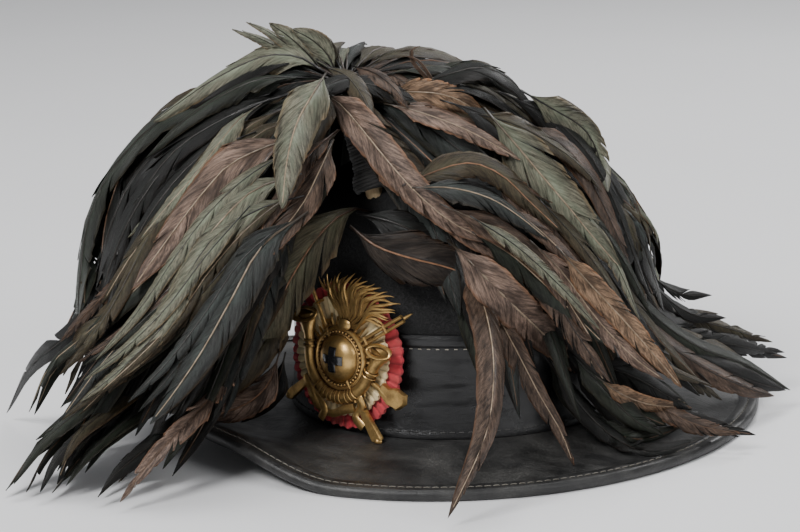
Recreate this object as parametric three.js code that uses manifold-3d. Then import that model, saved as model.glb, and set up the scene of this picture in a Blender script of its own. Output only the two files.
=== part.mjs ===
// A rifleman's plumed hat: an oval felt crown, a wide leather-faced brim with a rolled edge, a deep
// leather band, a pleated cockade with a cast brass badge, and a plume of cock feathers on a short stem.
//
// Millimetres, +Z up. The hat faces -Y and its wearer's right is -X. It rests on its brim at Z = 0.
import * as THREE from "three";
import { mergeVertices } from "three/addons/utils/BufferGeometryUtils.js";
import Module from "manifold-3d";

const wasm = await Module();
wasm.setup();

// General
const GAP = 0.3; // between pieces that seat on each other
const ROUND_STEPS = 40; // facets round the hat

// Crown. Widths are at the hat's sides, and everything round it is longer by OVAL from front to back.
const CROWN_HALF_WIDTH = 82.2;
const CROWN_HALF_LENGTH = 97.8;
const CROWN_HEIGHT = 118; // above the brim's root
const FELT_THICKNESS = 2.2;
const FOOT_FLARE = 2; // how far the crown spreads at its foot
const FOOT_FLARE_HEIGHT = 16;
const OVAL = CROWN_HALF_LENGTH / CROWN_HALF_WIDTH;

// Brim and its rolled leather edge
const BRIM_WIDTH = 55; // at the sides
const BRIM_THICKNESS = 2.4;
const BRIM_RISE = 6.4; // the brim's root above its edge
const EDGE_LEATHER = 1.2;
const EDGE_LEG = 8; // how far the edge leather reaches in over the brim
const SIDE_LIFT = 11.5; // the wearer's right side of the brim curls up by this

// Leather band
const BAND_HEIGHT = 49;
const BAND_THICKNESS = 1.5;

// Cockade: two pleated ruffles
const RUFFLE_RADIUS = 34;
const CREAM_RADIUS = 27.5;
const RUFFLE_HOLE_RADIUS = 12;
const RUFFLE_THICKNESS = 1.6;
const PLEAT_DEPTH = 0.55;
const PLEATS = 32;
const COCKADE_AZIMUTH = 14; // degrees from the front to the wearer's right
const COCKADE_CENTRE_HEIGHT = 47;
const COCKADE_LEAN = 3; // degrees that its top leans back
const COCKADE_BEND_RADIUS = 240; // it bends a little round the crown
const COCKADE_STANDOFF = 2.4; // its middle stands off the band, which curves away at its sides

// Brass badge, laid out from the middle of its boss
const BOSS_RADIUS = 11;
const BOSS_HEIGHT = 6;
const BOSS_RIM_RADIUS = 14.3;
const BOSS_RIM_WIRE = 1.5;
const BOSS_RAYS = 10;
const BADGE_PLATE = 1.4;
const BADGE_SHIFT = 1.5; // the badge sits this far beside the cockade's middle
const HORN_RADIUS = 17.5; // the horn's bend, along its middle
const HORN_BORE = 3.2; // the horn's thickest stretch, as a radius
const BELL_RADIUS = 7;
const BELL_DEPTH = 5.2; // a bell's half height out of the badge
const RIFLE_LENGTH = 80;
const RIFLE_BARREL_RADIUS = 1.1;
const FLAME_HEIGHT = 25; // above the badge's neck
const FLAME_STRAND_RADIUS = 1.9;
const CROSS_SPAN = 12;
const CROSS_ARM = 4.2;
const CROSS_DEPTH = 2.2; // of its seat in the boss
const BADGE_RELIEF = 2.4; // of its lower parts
const BADGE_REACH = 20; // clear of its highest face
const BUTT_DEPTH = 6.4;
const BUTT_KNOB_RADIUS = 1.7;
const GUARD_RADIUS = 3;
const GUARD_WIRE = 0.7;
const RIBBON_WIDTH = 4.6;
const RAY_LENGTH = 7;
const RAY_WIDTH = 0.9;
const AXE_LENGTH = 12;
const NECK_RADIUS = 3.2;
const DOME_RINGS = 4;

// Plume
const STEM_RADIUS = 4.2;
const STEM_HEIGHT = 47; // of the stem's top above its foot
const WRAP_THICKNESS = 1.8;
const PEG_SHOWS = 4; // bare wood below the wrapping
const HEAD_RADIUS = 13; // the bound quills round the top of the stem
const HEAD_HEIGHT = 34;
const QUILLS_BELOW = 0.45; // the share of that height which the wrapping stops below the stem's top
const LUMP = 1.45; // the wrapping's thick foot, as a share of its radius
const PLUME_REACH = 222; // from the stem's top to the furthest tip, level
const FEATHER_WIDTH = 35;
const FEATHER_THICKNESS = 2.2;
const LOCK_STEPS = 5;
const LOCK_CLEAR = 3.2; // a lock's middle off the hat, which its faces keep their thickness about
const TIP_CLEARANCE = 4.5; // the lowest tips above the surface that the hat rests on

// Heights that follow
const EDGE_BOTTOM = EDGE_LEATHER + GAP; // the brim's underside at its edge
const EDGE_TOP = EDGE_BOTTOM + BRIM_THICKNESS;
const ROOT_TOP = EDGE_TOP + BRIM_RISE; // the brim's top where it meets the crown
const FOOT_RADIUS = CROWN_HALF_WIDTH + FOOT_FLARE;
const BRIM_ROOT_RADIUS = FOOT_RADIUS + GAP;
const BRIM_RADIUS = BRIM_ROOT_RADIUS + BRIM_WIDTH;
const BAND_BOTTOM = ROOT_TOP + GAP;
const BADGE_BASE = RUFFLE_THICKNESS * 2 + PLEAT_DEPTH + 2.5 * GAP; // the badge's back over the red ruffle's

const radians = THREE.MathUtils.degToRad;
const smooth = THREE.MathUtils.smoothstep;
const hat = new THREE.Group();

// Solids

function solidOf(geometry) {
  const bare = geometry.clone();
  bare.deleteAttribute("normal");
  bare.deleteAttribute("uv");
  const merged = mergeVertices(bare, 1e-3);
  const index = merged.index.array;
  const triVerts = [];
  for (let i = 0; i < index.length; i += 3) {
    const [a, b, c] = index.slice(i, i + 3);
    if (a !== b && b !== c && c !== a) triVerts.push(a, b, c);
  }
  return new wasm.Manifold(
    new wasm.Mesh({
      numProp: 3,
      vertProperties: merged.attributes.position.array,
      triVerts: new Uint32Array(triVerts),
    }),
  );
}

function geometryOf(solid) {
  const mesh = solid.getMesh();
  const geometry = new THREE.BufferGeometry();
  geometry.setAttribute("position", new THREE.BufferAttribute(mesh.vertProperties, mesh.numProp));
  geometry.setIndex(new THREE.BufferAttribute(mesh.triVerts, 1));
  const faceted = geometry.toNonIndexed();
  faceted.computeVertexNormals();
  return faceted;
}

const joined = (solids) => solids.reduce((all, next) => all.add(next));

// The largest shell of a solid: hollows sealed inside it are filled, and loose crumbs are dropped.
const mainBody = (solid) => solid.decompose().reduce((a, b) => (a.volume() > b.volume() ? a : b));

// Moves every vertex of a geometry by a function of its place.
function reshape(geometry, move) {
  const place = geometry.attributes.position;
  const v = new THREE.Vector3();
  for (let i = 0; i < place.count; i++) {
    v.fromBufferAttribute(place, i);
    move(v);
    place.setXYZ(i, v.x, v.y, v.z);
  }
  return geometry;
}

// A profile of [radius, height] pairs turned round +Z and drawn out to the hat's oval.
function ovalTurned(profile, steps = ROUND_STEPS) {
  const points = profile.map(([radius, height]) => new THREE.Vector2(radius, height));
  return new THREE.LatheGeometry(points, steps).rotateX(Math.PI / 2).scale(1, OVAL, 1);
}

function piece(name, geometry, color, roughness, metalness = 0) {
  const material = new THREE.MeshStandardMaterial({ color, roughness, metalness });
  const mesh = new THREE.Mesh(geometry, material);
  mesh.name = name;
  return mesh;
}

// Where a point lies on the hat: its share of the crown's oval, and its angle from the front towards
// the wearer's right, in degrees.
const ovalRadius = (v) => Math.hypot(v.x, v.y / OVAL);
const azimuthOf = (v) => THREE.MathUtils.radToDeg(Math.atan2(-v.x, -v.y / OVAL));

// A place on the oval of a radius, at an angle from the front towards the wearer's right.
function onOval(radius, azimuth, height) {
  const a = radians(azimuth);
  return new THREE.Vector3(-radius * Math.sin(a), -radius * OVAL * Math.cos(a), height);
}

// Crown

// The felt's outer face from its foot to its top, as shares of the half width and of the height.
const CROWN_SHAPE = [
  { width: 1.0, height: 0.55 },
  { width: 0.985, height: 0.66 },
  { width: 0.945, height: 0.78 },
  { width: 0.86, height: 0.88 },
  { width: 0.69, height: 0.955 },
  { width: 0.42, height: 0.99 },
  { width: 0.0, height: 1.0 },
];

// The outer face, moved out by a distance.
function crownFace(out = 0) {
  const foot = ROOT_TOP - BRIM_THICKNESS;
  const rows = CROWN_SHAPE.map(({ width, height }) => [
    width === 0 ? 0 : CROWN_HALF_WIDTH * width + out * Math.sqrt(1 - height ** 6),
    ROOT_TOP + CROWN_HEIGHT * height + out * height ** 6,
  ]);
  return [
    [FOOT_RADIUS + out, foot],
    [FOOT_RADIUS + out, ROOT_TOP],
    [CROWN_HALF_WIDTH + FOOT_FLARE * 0.4 + out, ROOT_TOP + FOOT_FLARE_HEIGHT * 0.4],
    [CROWN_HALF_WIDTH + out, ROOT_TOP + FOOT_FLARE_HEIGHT],
    ...rows,
  ];
}

function crown() {
  const outer = crownFace();
  const inner = crownFace(-FELT_THICKNESS).reverse();
  const felt = solidOf(ovalTurned([...outer, ...inner.slice(1)].concat([outer[0]])));
  return piece("crown", geometryOf(felt), 0x17181a, 0.95);
}

// Brim

// How far the brim is lifted at its edge, by the angle from the front.
function edgeLift(azimuth) {
  return SIDE_LIFT * smooth(azimuth, -2, 24) * (1 - smooth(azimuth, 85, 130));
}

// The share of that lift which a place across the brim has. The bound edge is level across.
const liftShare = (across) => THREE.MathUtils.clamp(across / (1 - EDGE_LEG / BRIM_WIDTH), 0, 1) ** 2;

// Dents and swells of the worn leather: where, as an angle and a share across the brim, and how much.
const BRIM_DENTS = [
  { azimuth: 2, across: 0.2, height: 1.6, spread: 9 },
  { azimuth: -10, across: 0.26, height: -1.4, spread: 9 },
  { azimuth: -24, across: 0.2, height: 1.3, spread: 12 },
  { azimuth: 22, across: 0.45, height: -1.2, spread: 16 },
  { azimuth: -62, across: 0.4, height: -1.2, spread: 18 },
  { azimuth: -118, across: 0.45, height: 1.2, spread: 18 },
  { azimuth: 152, across: 0.4, height: -1.2, spread: 18 },
];

function brimMove(v) {
  const across = (ovalRadius(v) - BRIM_ROOT_RADIUS) / BRIM_WIDTH;
  const azimuth = azimuthOf(v);
  let rise = edgeLift(azimuth) * liftShare(across);
  const shade = smooth(across, 0.02, 0.12) * (1 - smooth(across, 0.6, 0.82));
  for (const dent of BRIM_DENTS) {
    const turned = ((azimuth - dent.azimuth + 540) % 360) - 180;
    const away = Math.hypot(turned / dent.spread, (across - dent.across) / 0.18);
    rise += dent.height * shade * Math.exp(-away * away);
  }
  v.z += rise;
}

// The brim's top face from its root to its edge, as shares of its width and of its rise.
const BRIM_SHAPE = [
  { across: 0.0, height: 1.0 },
  { across: 0.15, height: 0.97 },
  { across: 0.32, height: 0.8 },
  { across: 0.52, height: 0.48 },
  { across: 0.7, height: 0.16 },
];

function brimTop(radius) {
  const across = THREE.MathUtils.clamp((radius - BRIM_ROOT_RADIUS) / BRIM_WIDTH, 0, 1);
  const flatFrom = 1 - EDGE_LEG / BRIM_WIDTH;
  const rows = [...BRIM_SHAPE, { across: flatFrom, height: 0 }, { across: 1, height: 0 }];
  const next = Math.max(1, rows.findIndex((row) => row.across >= across));
  const [a, b] = [rows[next - 1], rows[next]];
  const share = (across - a.across) / (b.across - a.across);
  return EDGE_TOP + BRIM_RISE * THREE.MathUtils.lerp(a.height, b.height, share);
}

function brimRadii() {
  const shares = BRIM_SHAPE.map((row) => row.across);
  return [...shares, 1 - EDGE_LEG / BRIM_WIDTH, 1].map((s) => BRIM_ROOT_RADIUS + BRIM_WIDTH * s);
}

function brim() {
  const top = brimRadii().map((radius) => [radius, brimTop(radius)]);
  const under = top.map(([radius, height]) => [radius, height - BRIM_THICKNESS]);
  const loop = [...under, ...top.reverse(), under[0]];
  return piece("brim", reshape(ovalTurned(loop), brimMove), 0x1b1b1c, 0.6);
}

function brimEdge() {
  const inner = BRIM_RADIUS - EDGE_LEG;
  const reach = BRIM_RADIUS + GAP; // inside of the fold
  const out = reach + EDGE_LEATHER;
  const bottom = 0;
  const top = EDGE_TOP + GAP + EDGE_LEATHER;
  const corner = (top - bottom) * 0.3; // the roll's rounding
  const loop = [
    [inner, bottom],
    [out - corner, bottom],
    [out, bottom + corner],
    [out, top - corner],
    [out - corner, top],
    [inner, top],
    [inner, top - EDGE_LEATHER],
    [reach, top - EDGE_LEATHER],
    [reach, EDGE_LEATHER],
    [inner, EDGE_LEATHER],
    [inner, bottom],
  ];
  return piece("brim_edge", reshape(ovalTurned(loop), brimMove), 0x101011, 0.45);
}

// Band

// The band's inner face follows the crown's outer face.
function bandRadius(height) {
  const up = (height - ROOT_TOP) / FOOT_FLARE_HEIGHT;
  const flare = up < 0.4 ? 1 - 1.5 * up : Math.max(0, (2 / 3) * (1 - up));
  return CROWN_HALF_WIDTH + FOOT_FLARE * flare + GAP;
}

function band() {
  const heights = [0, 0.4 * FOOT_FLARE_HEIGHT, FOOT_FLARE_HEIGHT, BAND_HEIGHT];
  const inner = heights.map((h) => [bandRadius(BAND_BOTTOM + h), BAND_BOTTOM + h]);
  const outer = inner.map(([radius, height]) => [radius + BAND_THICKNESS, height]);
  const loop = [...outer, ...inner.reverse(), outer[0]];
  return piece("hat_band", ovalTurned(loop), 0x0c0c0d, 0.35);
}

// The filled hat grown by a clearance, which whatever lies on it is cut by.
function hatFilled(clear) {
  const face = crownFace(clear).slice(2);
  const bandOut = bandRadius(BAND_BOTTOM + BAND_HEIGHT) + BAND_THICKNESS + clear;
  const bandTop = BAND_BOTTOM + BAND_HEIGHT + clear;
  const walls = face.filter(([, height]) => height > bandTop + 1);
  const rimOut = BRIM_RADIUS + GAP + EDGE_LEATHER + clear;
  const rimTop = EDGE_TOP + GAP + EDGE_LEATHER + clear;
  const foot = bandRadius(BAND_BOTTOM) + BAND_THICKNESS + clear;
  const across = brimRadii().slice(1, -1).reverse();
  const slope = across.map((radius) => [radius, brimTop(radius) + clear]);
  const body = [
    [0, -clear],
    [rimOut, -clear],
    [rimOut, rimTop],
    [BRIM_RADIUS - EDGE_LEG - clear, rimTop],
    ...slope,
    [foot, brimTop(BRIM_ROOT_RADIUS) + clear],
    [bandOut, ROOT_TOP + FOOT_FLARE_HEIGHT + clear],
    [bandOut, bandTop],
    [CROWN_HALF_WIDTH + clear, bandTop],
    ...walls,
  ];
  return solidOf(reshape(ovalTurned(body), brimMove));
}

// Cockade and badge, drawn flat: X to the viewer's right, Y up, Z out of the hat

// Bends the flat layout round the crown.
function bendRound(v) {
  v.z -= (v.x * v.x) / (2 * COCKADE_BEND_RADIUS);
}

function cockadeSeat(out) {
  const centre = onOval(
    bandRadius(COCKADE_CENTRE_HEIGHT) + BAND_THICKNESS, COCKADE_AZIMUTH, COCKADE_CENTRE_HEIGHT,
  );
  const a = radians(COCKADE_AZIMUTH);
  const normal = new THREE.Vector3(-Math.sin(a) * OVAL, -Math.cos(a), 0).normalize();
  const right = new THREE.Vector3(0, 0, 1).cross(normal);
  const seat = new THREE.Group();
  seat.matrixAutoUpdate = false;
  seat.matrix
    .makeBasis(right, new THREE.Vector3(0, 0, 1), normal)
    .setPosition(centre.addScaledVector(normal, out))
    .multiply(new THREE.Matrix4().makeRotationX(-radians(COCKADE_LEAN)));
  return seat;
}

// One pleated ring. Its pleats are ridges that run out from its hole.
function ruffle(radius, hole, bottom, thick) {
  const middle = (radius + hole) / 2;
  const top = bottom + thick;
  const loop = [
    [hole, bottom], [radius, bottom], [radius, top], [middle, top], [hole, top], [hole, bottom],
  ];
  const points = loop.map(([r, z]) => new THREE.Vector2(r, z));
  const ring = new THREE.LatheGeometry(points, PLEATS * 2).rotateX(Math.PI / 2);
  return reshape(ring, (v) => {
    const wave = Math.cos(Math.atan2(v.y, v.x) * PLEATS);
    const front = v.z > bottom + thick / 2 ? 1 : 0;
    v.z += front * PLEAT_DEPTH * wave;
    bendRound(v);
  });
}

// A solid rod of changing section along a curve that lies about level. sizeAt(t) gives its half width
// and half thickness.
function limb(points, sizeAt, { sides = 6, steps = 8 } = {}) {
  const curve = new THREE.CatmullRomCurve3(points, false, "centripetal");
  const rod = new THREE.CylinderGeometry(1, 1, 1, sides, steps);
  const tangent = new THREE.Vector3();
  const across = new THREE.Vector3();
  const up = new THREE.Vector3();
  return reshape(rod, (v) => {
    const t = THREE.MathUtils.clamp(0.5 - v.y, 0, 1);
    const { wide, thick } = sizeAt(t);
    tangent.copy(curve.getTangent(t));
    across.set(0, 0, 1).cross(tangent).normalize();
    up.copy(tangent).cross(across);
    const [x, z] = [v.x * wide, v.z * thick];
    v.copy(curve.getPoint(t)).addScaledVector(across, -x).addScaledVector(up, -z);
  });
}

// Points of the flat layout, each raised over a level by its own third number.
const onLevel = (list, z) => list.map(([x, y, up = 0]) => new THREE.Vector3(x, y, z + up));

// A body turned round an upright line, standing on a level.
function turned(profile, z, steps) {
  const points = profile.map(([radius, height]) => new THREE.Vector2(radius, height));
  return new THREE.LatheGeometry(points, steps).rotateX(Math.PI / 2).translate(0, 0, z);
}

const disc = (radius, height, z, steps) =>
  turned([[0, 0], [radius, 0], [radius, height], [0, height]], z, steps);

function dome(radius, height, z, steps) {
  const profile = [[0, 0]];
  for (let i = 0; i <= DOME_RINGS; i++) {
    const a = ((Math.PI / 2) * i) / DOME_RINGS;
    profile.push([radius * Math.cos(a), height * Math.sin(a)]);
  }
  return turned(profile, z, steps);
}

// The flame's locks: where each one's middle and tip lie, as shares of the flame's height, from the neck.
const FLAME_LOCKS = [
  { midX: -0.34, midY: 0.42, tipX: -0.66, tipY: 0.74 },
  { midX: -0.3, midY: 0.55, tipX: -0.42, tipY: 0.92 },
  { midX: -0.12, midY: 0.6, tipX: 0.08, tipY: 0.98 },
  { midX: -0.02, midY: 0.62, tipX: 0.32, tipY: 0.95 },
  { midX: 0.16, midY: 0.58, tipX: 0.6, tipY: 0.86 },
  { midX: 0.34, midY: 0.52, tipX: 0.94, tipY: 0.74 },
  { midX: 0.4, midY: 0.36, tipX: 1.16, tipY: 0.56 },
  { midX: 0.42, midY: 0.2, tipX: 1.08, tipY: 0.34 },
  { midX: 0.34, midY: 0.1, tipX: 0.84, tipY: 0.14 },
];

// A strand swells in its middle and is drawn out to a tip.
function strandSize(t) {
  const swell = 0.75 + 0.6 * Math.sin(Math.PI * Math.min(1, t * 1.15));
  const round = FLAME_STRAND_RADIUS * swell * (1 - 0.75 * t ** 4);
  return { wide: round, thick: round * 0.8 };
}

function flames(z) {
  const foot = BOSS_RIM_RADIUS - 1;
  const at = (x, y, up) => [x * FLAME_HEIGHT, foot + y * FLAME_HEIGHT, up];
  return FLAME_LOCKS.map(({ midX, midY, tipX, tipY }, i) => {
    const path = onLevel([[0, foot], at(midX, midY, 1.6 - 0.12 * i), at(tipX, tipY, 0)], z);
    return limb(path, strandSize, { sides: 4, steps: 3 });
  });
}

// A slung rifle: butt, lock and barrel in a line through the boss.
function rifle(angle, z) {
  const long = RIFLE_LENGTH;
  const bore = RIFLE_BARREL_RADIUS;
  const parts = [
    new THREE.BoxGeometry(long * 0.17, BUTT_DEPTH, BADGE_RELIEF, 2).translate(-long * 0.37, 0, 0),
    new THREE.BoxGeometry(long * 0.62, BUTT_DEPTH * 0.47, BADGE_RELIEF * 0.9, 8),
    new THREE.CylinderGeometry(bore, bore, long, 5, 5).rotateZ(Math.PI / 2).translate(0, bore, bore / 3),
    new THREE.SphereGeometry(BUTT_KNOB_RADIUS, 5, 3).translate(-long / 2, 0, 0),
    new THREE.TorusGeometry(GUARD_RADIUS, GUARD_WIRE, 3, 6).translate(-long * 0.3, -GUARD_RADIUS, 0),
  ];
  return parts.map((part) => part.rotateZ(radians(angle)).translate(0, 0, z));
}

function horn(z) {
  const arc = [];
  const [from, to] = [-200, 10];
  for (let i = 0; i <= 6; i++) {
    const a = radians(from + ((to - from) * i) / 6);
    arc.push([HORN_RADIUS * Math.cos(a), HORN_RADIUS * Math.sin(a) - 1]);
  }
  const left = [-HORN_RADIUS - 4.5, BOSS_RIM_RADIUS + 5];
  const right = [HORN_RADIUS + 6.5, 8];
  const path = onLevel([left, ...arc, right], z);
  const size = (t) => {
    const bell = Math.max(smooth(0.16 - t, 0, 0.16), 0.75 * smooth(t, 0.88, 1));
    const round = HORN_BORE + (BELL_RADIUS - HORN_BORE) * bell ** 2;
    return { wide: round, thick: HORN_BORE + (BELL_DEPTH - HORN_BORE) * bell ** 2 };
  };
  return limb(path, size, { sides: 7, steps: 14 });
}

// The two ends of the ribbon that ties the trophy, as shares of the boss rim's radius.
const RIBBON_ENDS = [
  [{ x: -1.4, y: -0.7 }, { x: -1.2, y: -1.4 }, { x: -0.56, y: -1.7 }, { x: 0.2, y: -1.2 }],
  [{ x: -0.63, y: -1.7 }, { x: 0, y: -1.78 }, { x: 0.63, y: -1.4 }, { x: 0.77, y: -0.98 }],
];

function ribbons(z) {
  return RIBBON_ENDS.map((end, i) => {
    const path = end.map(({ x, y }) => [x * BOSS_RIM_RADIUS, y * BOSS_RIM_RADIUS, i * GAP]);
    const size = () => ({ wide: RIBBON_WIDTH / 2, thick: BADGE_RELIEF * 0.4 });
    return limb(onLevel(path, z), size, { sides: 4, steps: 8 });
  });
}

function rays(z) {
  return Array.from({ length: BOSS_RAYS }, (_, i) => {
    const ray = new THREE.BoxGeometry(RAY_LENGTH, RAY_WIDTH, BADGE_PLATE);
    ray.translate(BOSS_RIM_RADIUS + BOSS_RIM_WIRE, 0, z);
    return ray.rotateZ((Math.PI * 2 * (i + 0.5)) / BOSS_RAYS);
  });
}

function badge() {
  const base = BADGE_BASE;
  const high = base + BADGE_PLATE;
  const axe = new THREE.BoxGeometry(AXE_LENGTH, AXE_LENGTH * 0.75, BADGE_RELIEF * 0.9);
  const shapes = [
    disc(BOSS_RIM_RADIUS + 2, BADGE_PLATE, base, 20),
    new THREE.TorusGeometry(BOSS_RIM_RADIUS, BOSS_RIM_WIRE, 4, 18).translate(0, 0, high + 1),
    horn(high + 0.6),
    ...flames(high - 0.2),
    ...rifle(33, base + BADGE_RELIEF * 0.6),
    ...rifle(121, base + BADGE_RELIEF * 0.8),
    ...ribbons(base + BADGE_RELIEF * 0.6),
    axe.rotateZ(radians(-38)).translate(AXE_LENGTH * 2, -AXE_LENGTH * 1.08, base + BADGE_RELIEF * 0.55),
    new THREE.CylinderGeometry(NECK_RADIUS * 0.6, NECK_RADIUS, 5, 8)
      .translate(0, BOSS_RIM_RADIUS, high + 0.8),
    ...rays(base + BADGE_PLATE * 0.6),
    dome(BOSS_RADIUS + 1.6, BOSS_HEIGHT, high - 0.4, 24),
  ];
  const cut = crossBar(GAP, high + BOSS_HEIGHT - CROSS_DEPTH, BADGE_REACH);
  const settle = (v) => {
    v.z = Math.max(v.z, base); // the cast's back is level
    bendRound(v);
  };
  const cast = joined(shapes.map((shape) => solidOf(reshape(shape, settle))));
  const seated = cast.subtract(solidOf(cut[0])).subtract(solidOf(cut[1]));
  return piece("badge", geometryOf(mainBody(seated)), 0x8a6a2c, 0.4, 0.9);
}

// The two bars of the cross, grown by a clearance and standing on a level.
function crossBar(grown, bottom, height) {
  const [long, short] = [CROSS_SPAN + 2 * grown, CROSS_ARM + 2 * grown];
  const up = bottom + height / 2;
  return [
    new THREE.BoxGeometry(long, short, height).translate(0, 0, up),
    new THREE.BoxGeometry(short, long, height).translate(0, 0, up),
  ];
}

function enamelCross() {
  const bottom = BADGE_BASE + BADGE_PLATE + BOSS_HEIGHT - CROSS_DEPTH + GAP;
  const bars = crossBar(0, bottom, CROSS_DEPTH);
  const solid = solidOf(bars[0]).add(solidOf(bars[1]));
  return piece("badge_cross", geometryOf(solid), 0x0a0a0c, 0.1);
}

function cockade() {
  const seat = cockadeSeat(COCKADE_STANDOFF);
  const rimSolid = ruffle(RUFFLE_RADIUS, RUFFLE_HOLE_RADIUS, 0, RUFFLE_THICKNESS);
  const rim = piece("cockade_rim", rimSolid, 0xb3202c, 0.7);
  const creamBottom = RUFFLE_THICKNESS + PLEAT_DEPTH + 1.5 * GAP;
  const cream = ruffle(CREAM_RADIUS, RUFFLE_HOLE_RADIUS, creamBottom, RUFFLE_THICKNESS - PLEAT_DEPTH);
  const trophy = new THREE.Group().add(badge(), enamelCross());
  trophy.position.x = BADGE_SHIFT;
  seat.add(rim, piece("cockade_centre", cream, 0xd9c9a0, 0.7), trophy);
  return seat;
}

// Plume

const STEM_FOOT = { azimuth: 17, reach: 0.77 };
const STEM_HEAD = { azimuth: 33, reach: 0.79 };
const FOOT_ABOVE_ROOT = 0.94; // the stem's foot, as a share of the crown's height

function stemEnds() {
  const low = ROOT_TOP + CROWN_HEIGHT * FOOT_ABOVE_ROOT;
  return [
    onOval(CROWN_HALF_WIDTH * STEM_FOOT.reach, STEM_FOOT.azimuth, low),
    onOval(CROWN_HALF_WIDTH * STEM_HEAD.reach, STEM_HEAD.azimuth, low + STEM_HEIGHT),
  ];
}

// A straight cylinder between two points, run on past them.
function rodBetween(from, to, radius, before, after, sides = 12) {
  const along = to.clone().sub(from).normalize();
  const start = from.clone().addScaledVector(along, -before);
  const end = to.clone().addScaledVector(along, after);
  const rod = new THREE.CylinderGeometry(radius, radius, start.distanceTo(end), sides);
  const turn = new THREE.Quaternion().setFromUnitVectors(new THREE.Vector3(0, 1, 0), along);
  const middle = start.clone().add(end).multiplyScalar(0.5);
  return solidOf(rod.applyQuaternion(turn).translate(middle.x, middle.y, middle.z));
}

// How the plume falls all round. heading runs from the wearer's left towards the back, in degrees. Its
// line gives places from root to tip: how far out from the stem's top, as a share of the plume's reach,
// and how high, as a share of the stem's top.
const FALL = [
  {
    heading: -62,
    line: [[0.02, 1.02], [0.07, 0.96], [0.12, 0.89], [0.17, 0.82], [0.21, 0.75], [0.25, 0.7], [0.28, 0.65]],
  },
  {
    heading: -40,
    line: [[0.02, 1.02], [0.08, 0.99], [0.16, 0.92], [0.24, 0.83], [0.31, 0.75], [0.37, 0.68], [0.43, 0.58]],
  },
  {
    heading: -18,
    line: [[0.02, 1.02], [0.12, 0.96], [0.24, 0.88], [0.34, 0.82], [0.42, 0.71], [0.49, 0.5], [0.56, 0.2]],
  },
  {
    heading: 8,
    line: [[0.02, 1.02], [0.15, 1.03], [0.29, 0.95], [0.4, 0.84], [0.5, 0.68], [0.6, 0.48], [0.76, 0.14]],
  },
  {
    heading: 28,
    line: [[0.02, 1.02], [0.16, 1.04], [0.3, 1.05], [0.44, 0.93], [0.56, 0.72], [0.66, 0.46], [0.92, 0.2]],
  },
  {
    heading: 45,
    line: [[0.02, 1.02], [0.16, 1.07], [0.31, 1.05], [0.45, 0.93], [0.56, 0.75], [0.64, 0.55], [0.8, 0.3]],
  },
  {
    heading: 100,
    line: [[0.02, 1.02], [0.16, 1.08], [0.31, 1.05], [0.44, 0.94], [0.54, 0.79], [0.61, 0.62], [0.68, 0.41]],
  },
  {
    heading: 165,
    line: [[0.02, 1.03], [0.15, 1.09], [0.28, 1.06], [0.39, 0.95], [0.47, 0.78], [0.53, 0.6], [0.59, 0.32]],
  },
  {
    heading: 190,
    line: [[0.02, 1.04], [0.14, 1.09], [0.27, 1.04], [0.39, 0.93], [0.5, 0.75], [0.6, 0.5], [0.73, 0.19]],
  },
  {
    heading: 215,
    line: [[0.02, 1.04], [0.14, 1.05], [0.27, 0.96], [0.39, 0.81], [0.5, 0.62], [0.6, 0.4], [0.69, 0.16]],
  },
  {
    heading: 240,
    line: [[0.02, 1.03], [0.14, 1.0], [0.28, 0.88], [0.41, 0.72], [0.54, 0.52], [0.67, 0.29], [0.8, 0.05]],
  },
  {
    heading: 258,
    line: [[0.02, 1.03], [0.12, 1.0], [0.22, 0.93], [0.31, 0.81], [0.4, 0.6], [0.55, 0.3], [0.74, 0.04]],
  },
  {
    heading: 275,
    line: [[0.02, 1.03], [0.09, 1.01], [0.17, 0.95], [0.24, 0.88], [0.3, 0.79], [0.34, 0.7], [0.37, 0.6]],
  },
];

// Locks, each a bundle of feathers, in layers round the stem. under is how far a layer lies below the
// fall, and crossed how far its locks turn round the stem on their way, in degrees.
const LAYERS = [
  { count: 28, under: 0, width: 1.05, roll: 14, crossed: 6 },
  { count: 11, under: 1, width: 1.2, roll: -10, crossed: -8 },
];
const UNDER_IN = 0.12; // how much less far out a layer lies, as a share
const UNDER_DOWN = 14;

// Locks that leave the fall, as shares like its own.
const LOOSE = [
  // the crest
  { heading: 195, line: [[0.02, 1.04], [0.14, 1.1], [0.24, 1.09], [0.36, 0.98]], width: 0.9, roll: -20 },
  { heading: 180, line: [[0.02, 1.04], [0.07, 1.1], [0.14, 1.14], [0.21, 1.15]], width: 0.75, roll: 0 },
  { heading: 168, line: [[0.02, 1.04], [0.04, 1.1], [0.08, 1.13], [0.13, 1.15]], width: 0.7, roll: 0 },
  { heading: 34, line: [[0.18, 0.98], [0.15, 1.04], [0.14, 1.08], [0.16, 1.11]], width: 0.2, roll: 20 },
  // two that hang in front of the brim
  { heading: -41, line: [[0.2, 0.88], [0.38, 0.68], [0.6, 0.42], [0.72, 0.04]], width: 0.5, roll: 0 },
  { heading: -20, line: [[0.2, 0.88], [0.37, 0.7], [0.52, 0.36], [0.62, 0.05]], width: 0.5, roll: 0 },
  // the fan that lies out to the wearer's left
  { heading: 14, line: [[0.3, 0.9], [0.54, 0.56], [0.68, 0.3], [0.85, 0.12]], width: 0.7, roll: 10 },
  { heading: 33, line: [[0.3, 0.92], [0.52, 0.66], [0.7, 0.34], [0.98, 0.13]], width: 0.7, roll: 4 },
  { heading: 41, line: [[0.3, 0.94], [0.54, 0.68], [0.74, 0.36], [1, 0.18]], width: 0.6, roll: 0 },
];

// Half of a feather's width along its length.
function featherOutline(t) {
  const along = Math.min(1, 0.06 + 0.95 * t ** 0.75);
  return Math.max(0.1, Math.sin(Math.PI * along) ** 0.55);
}

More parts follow.
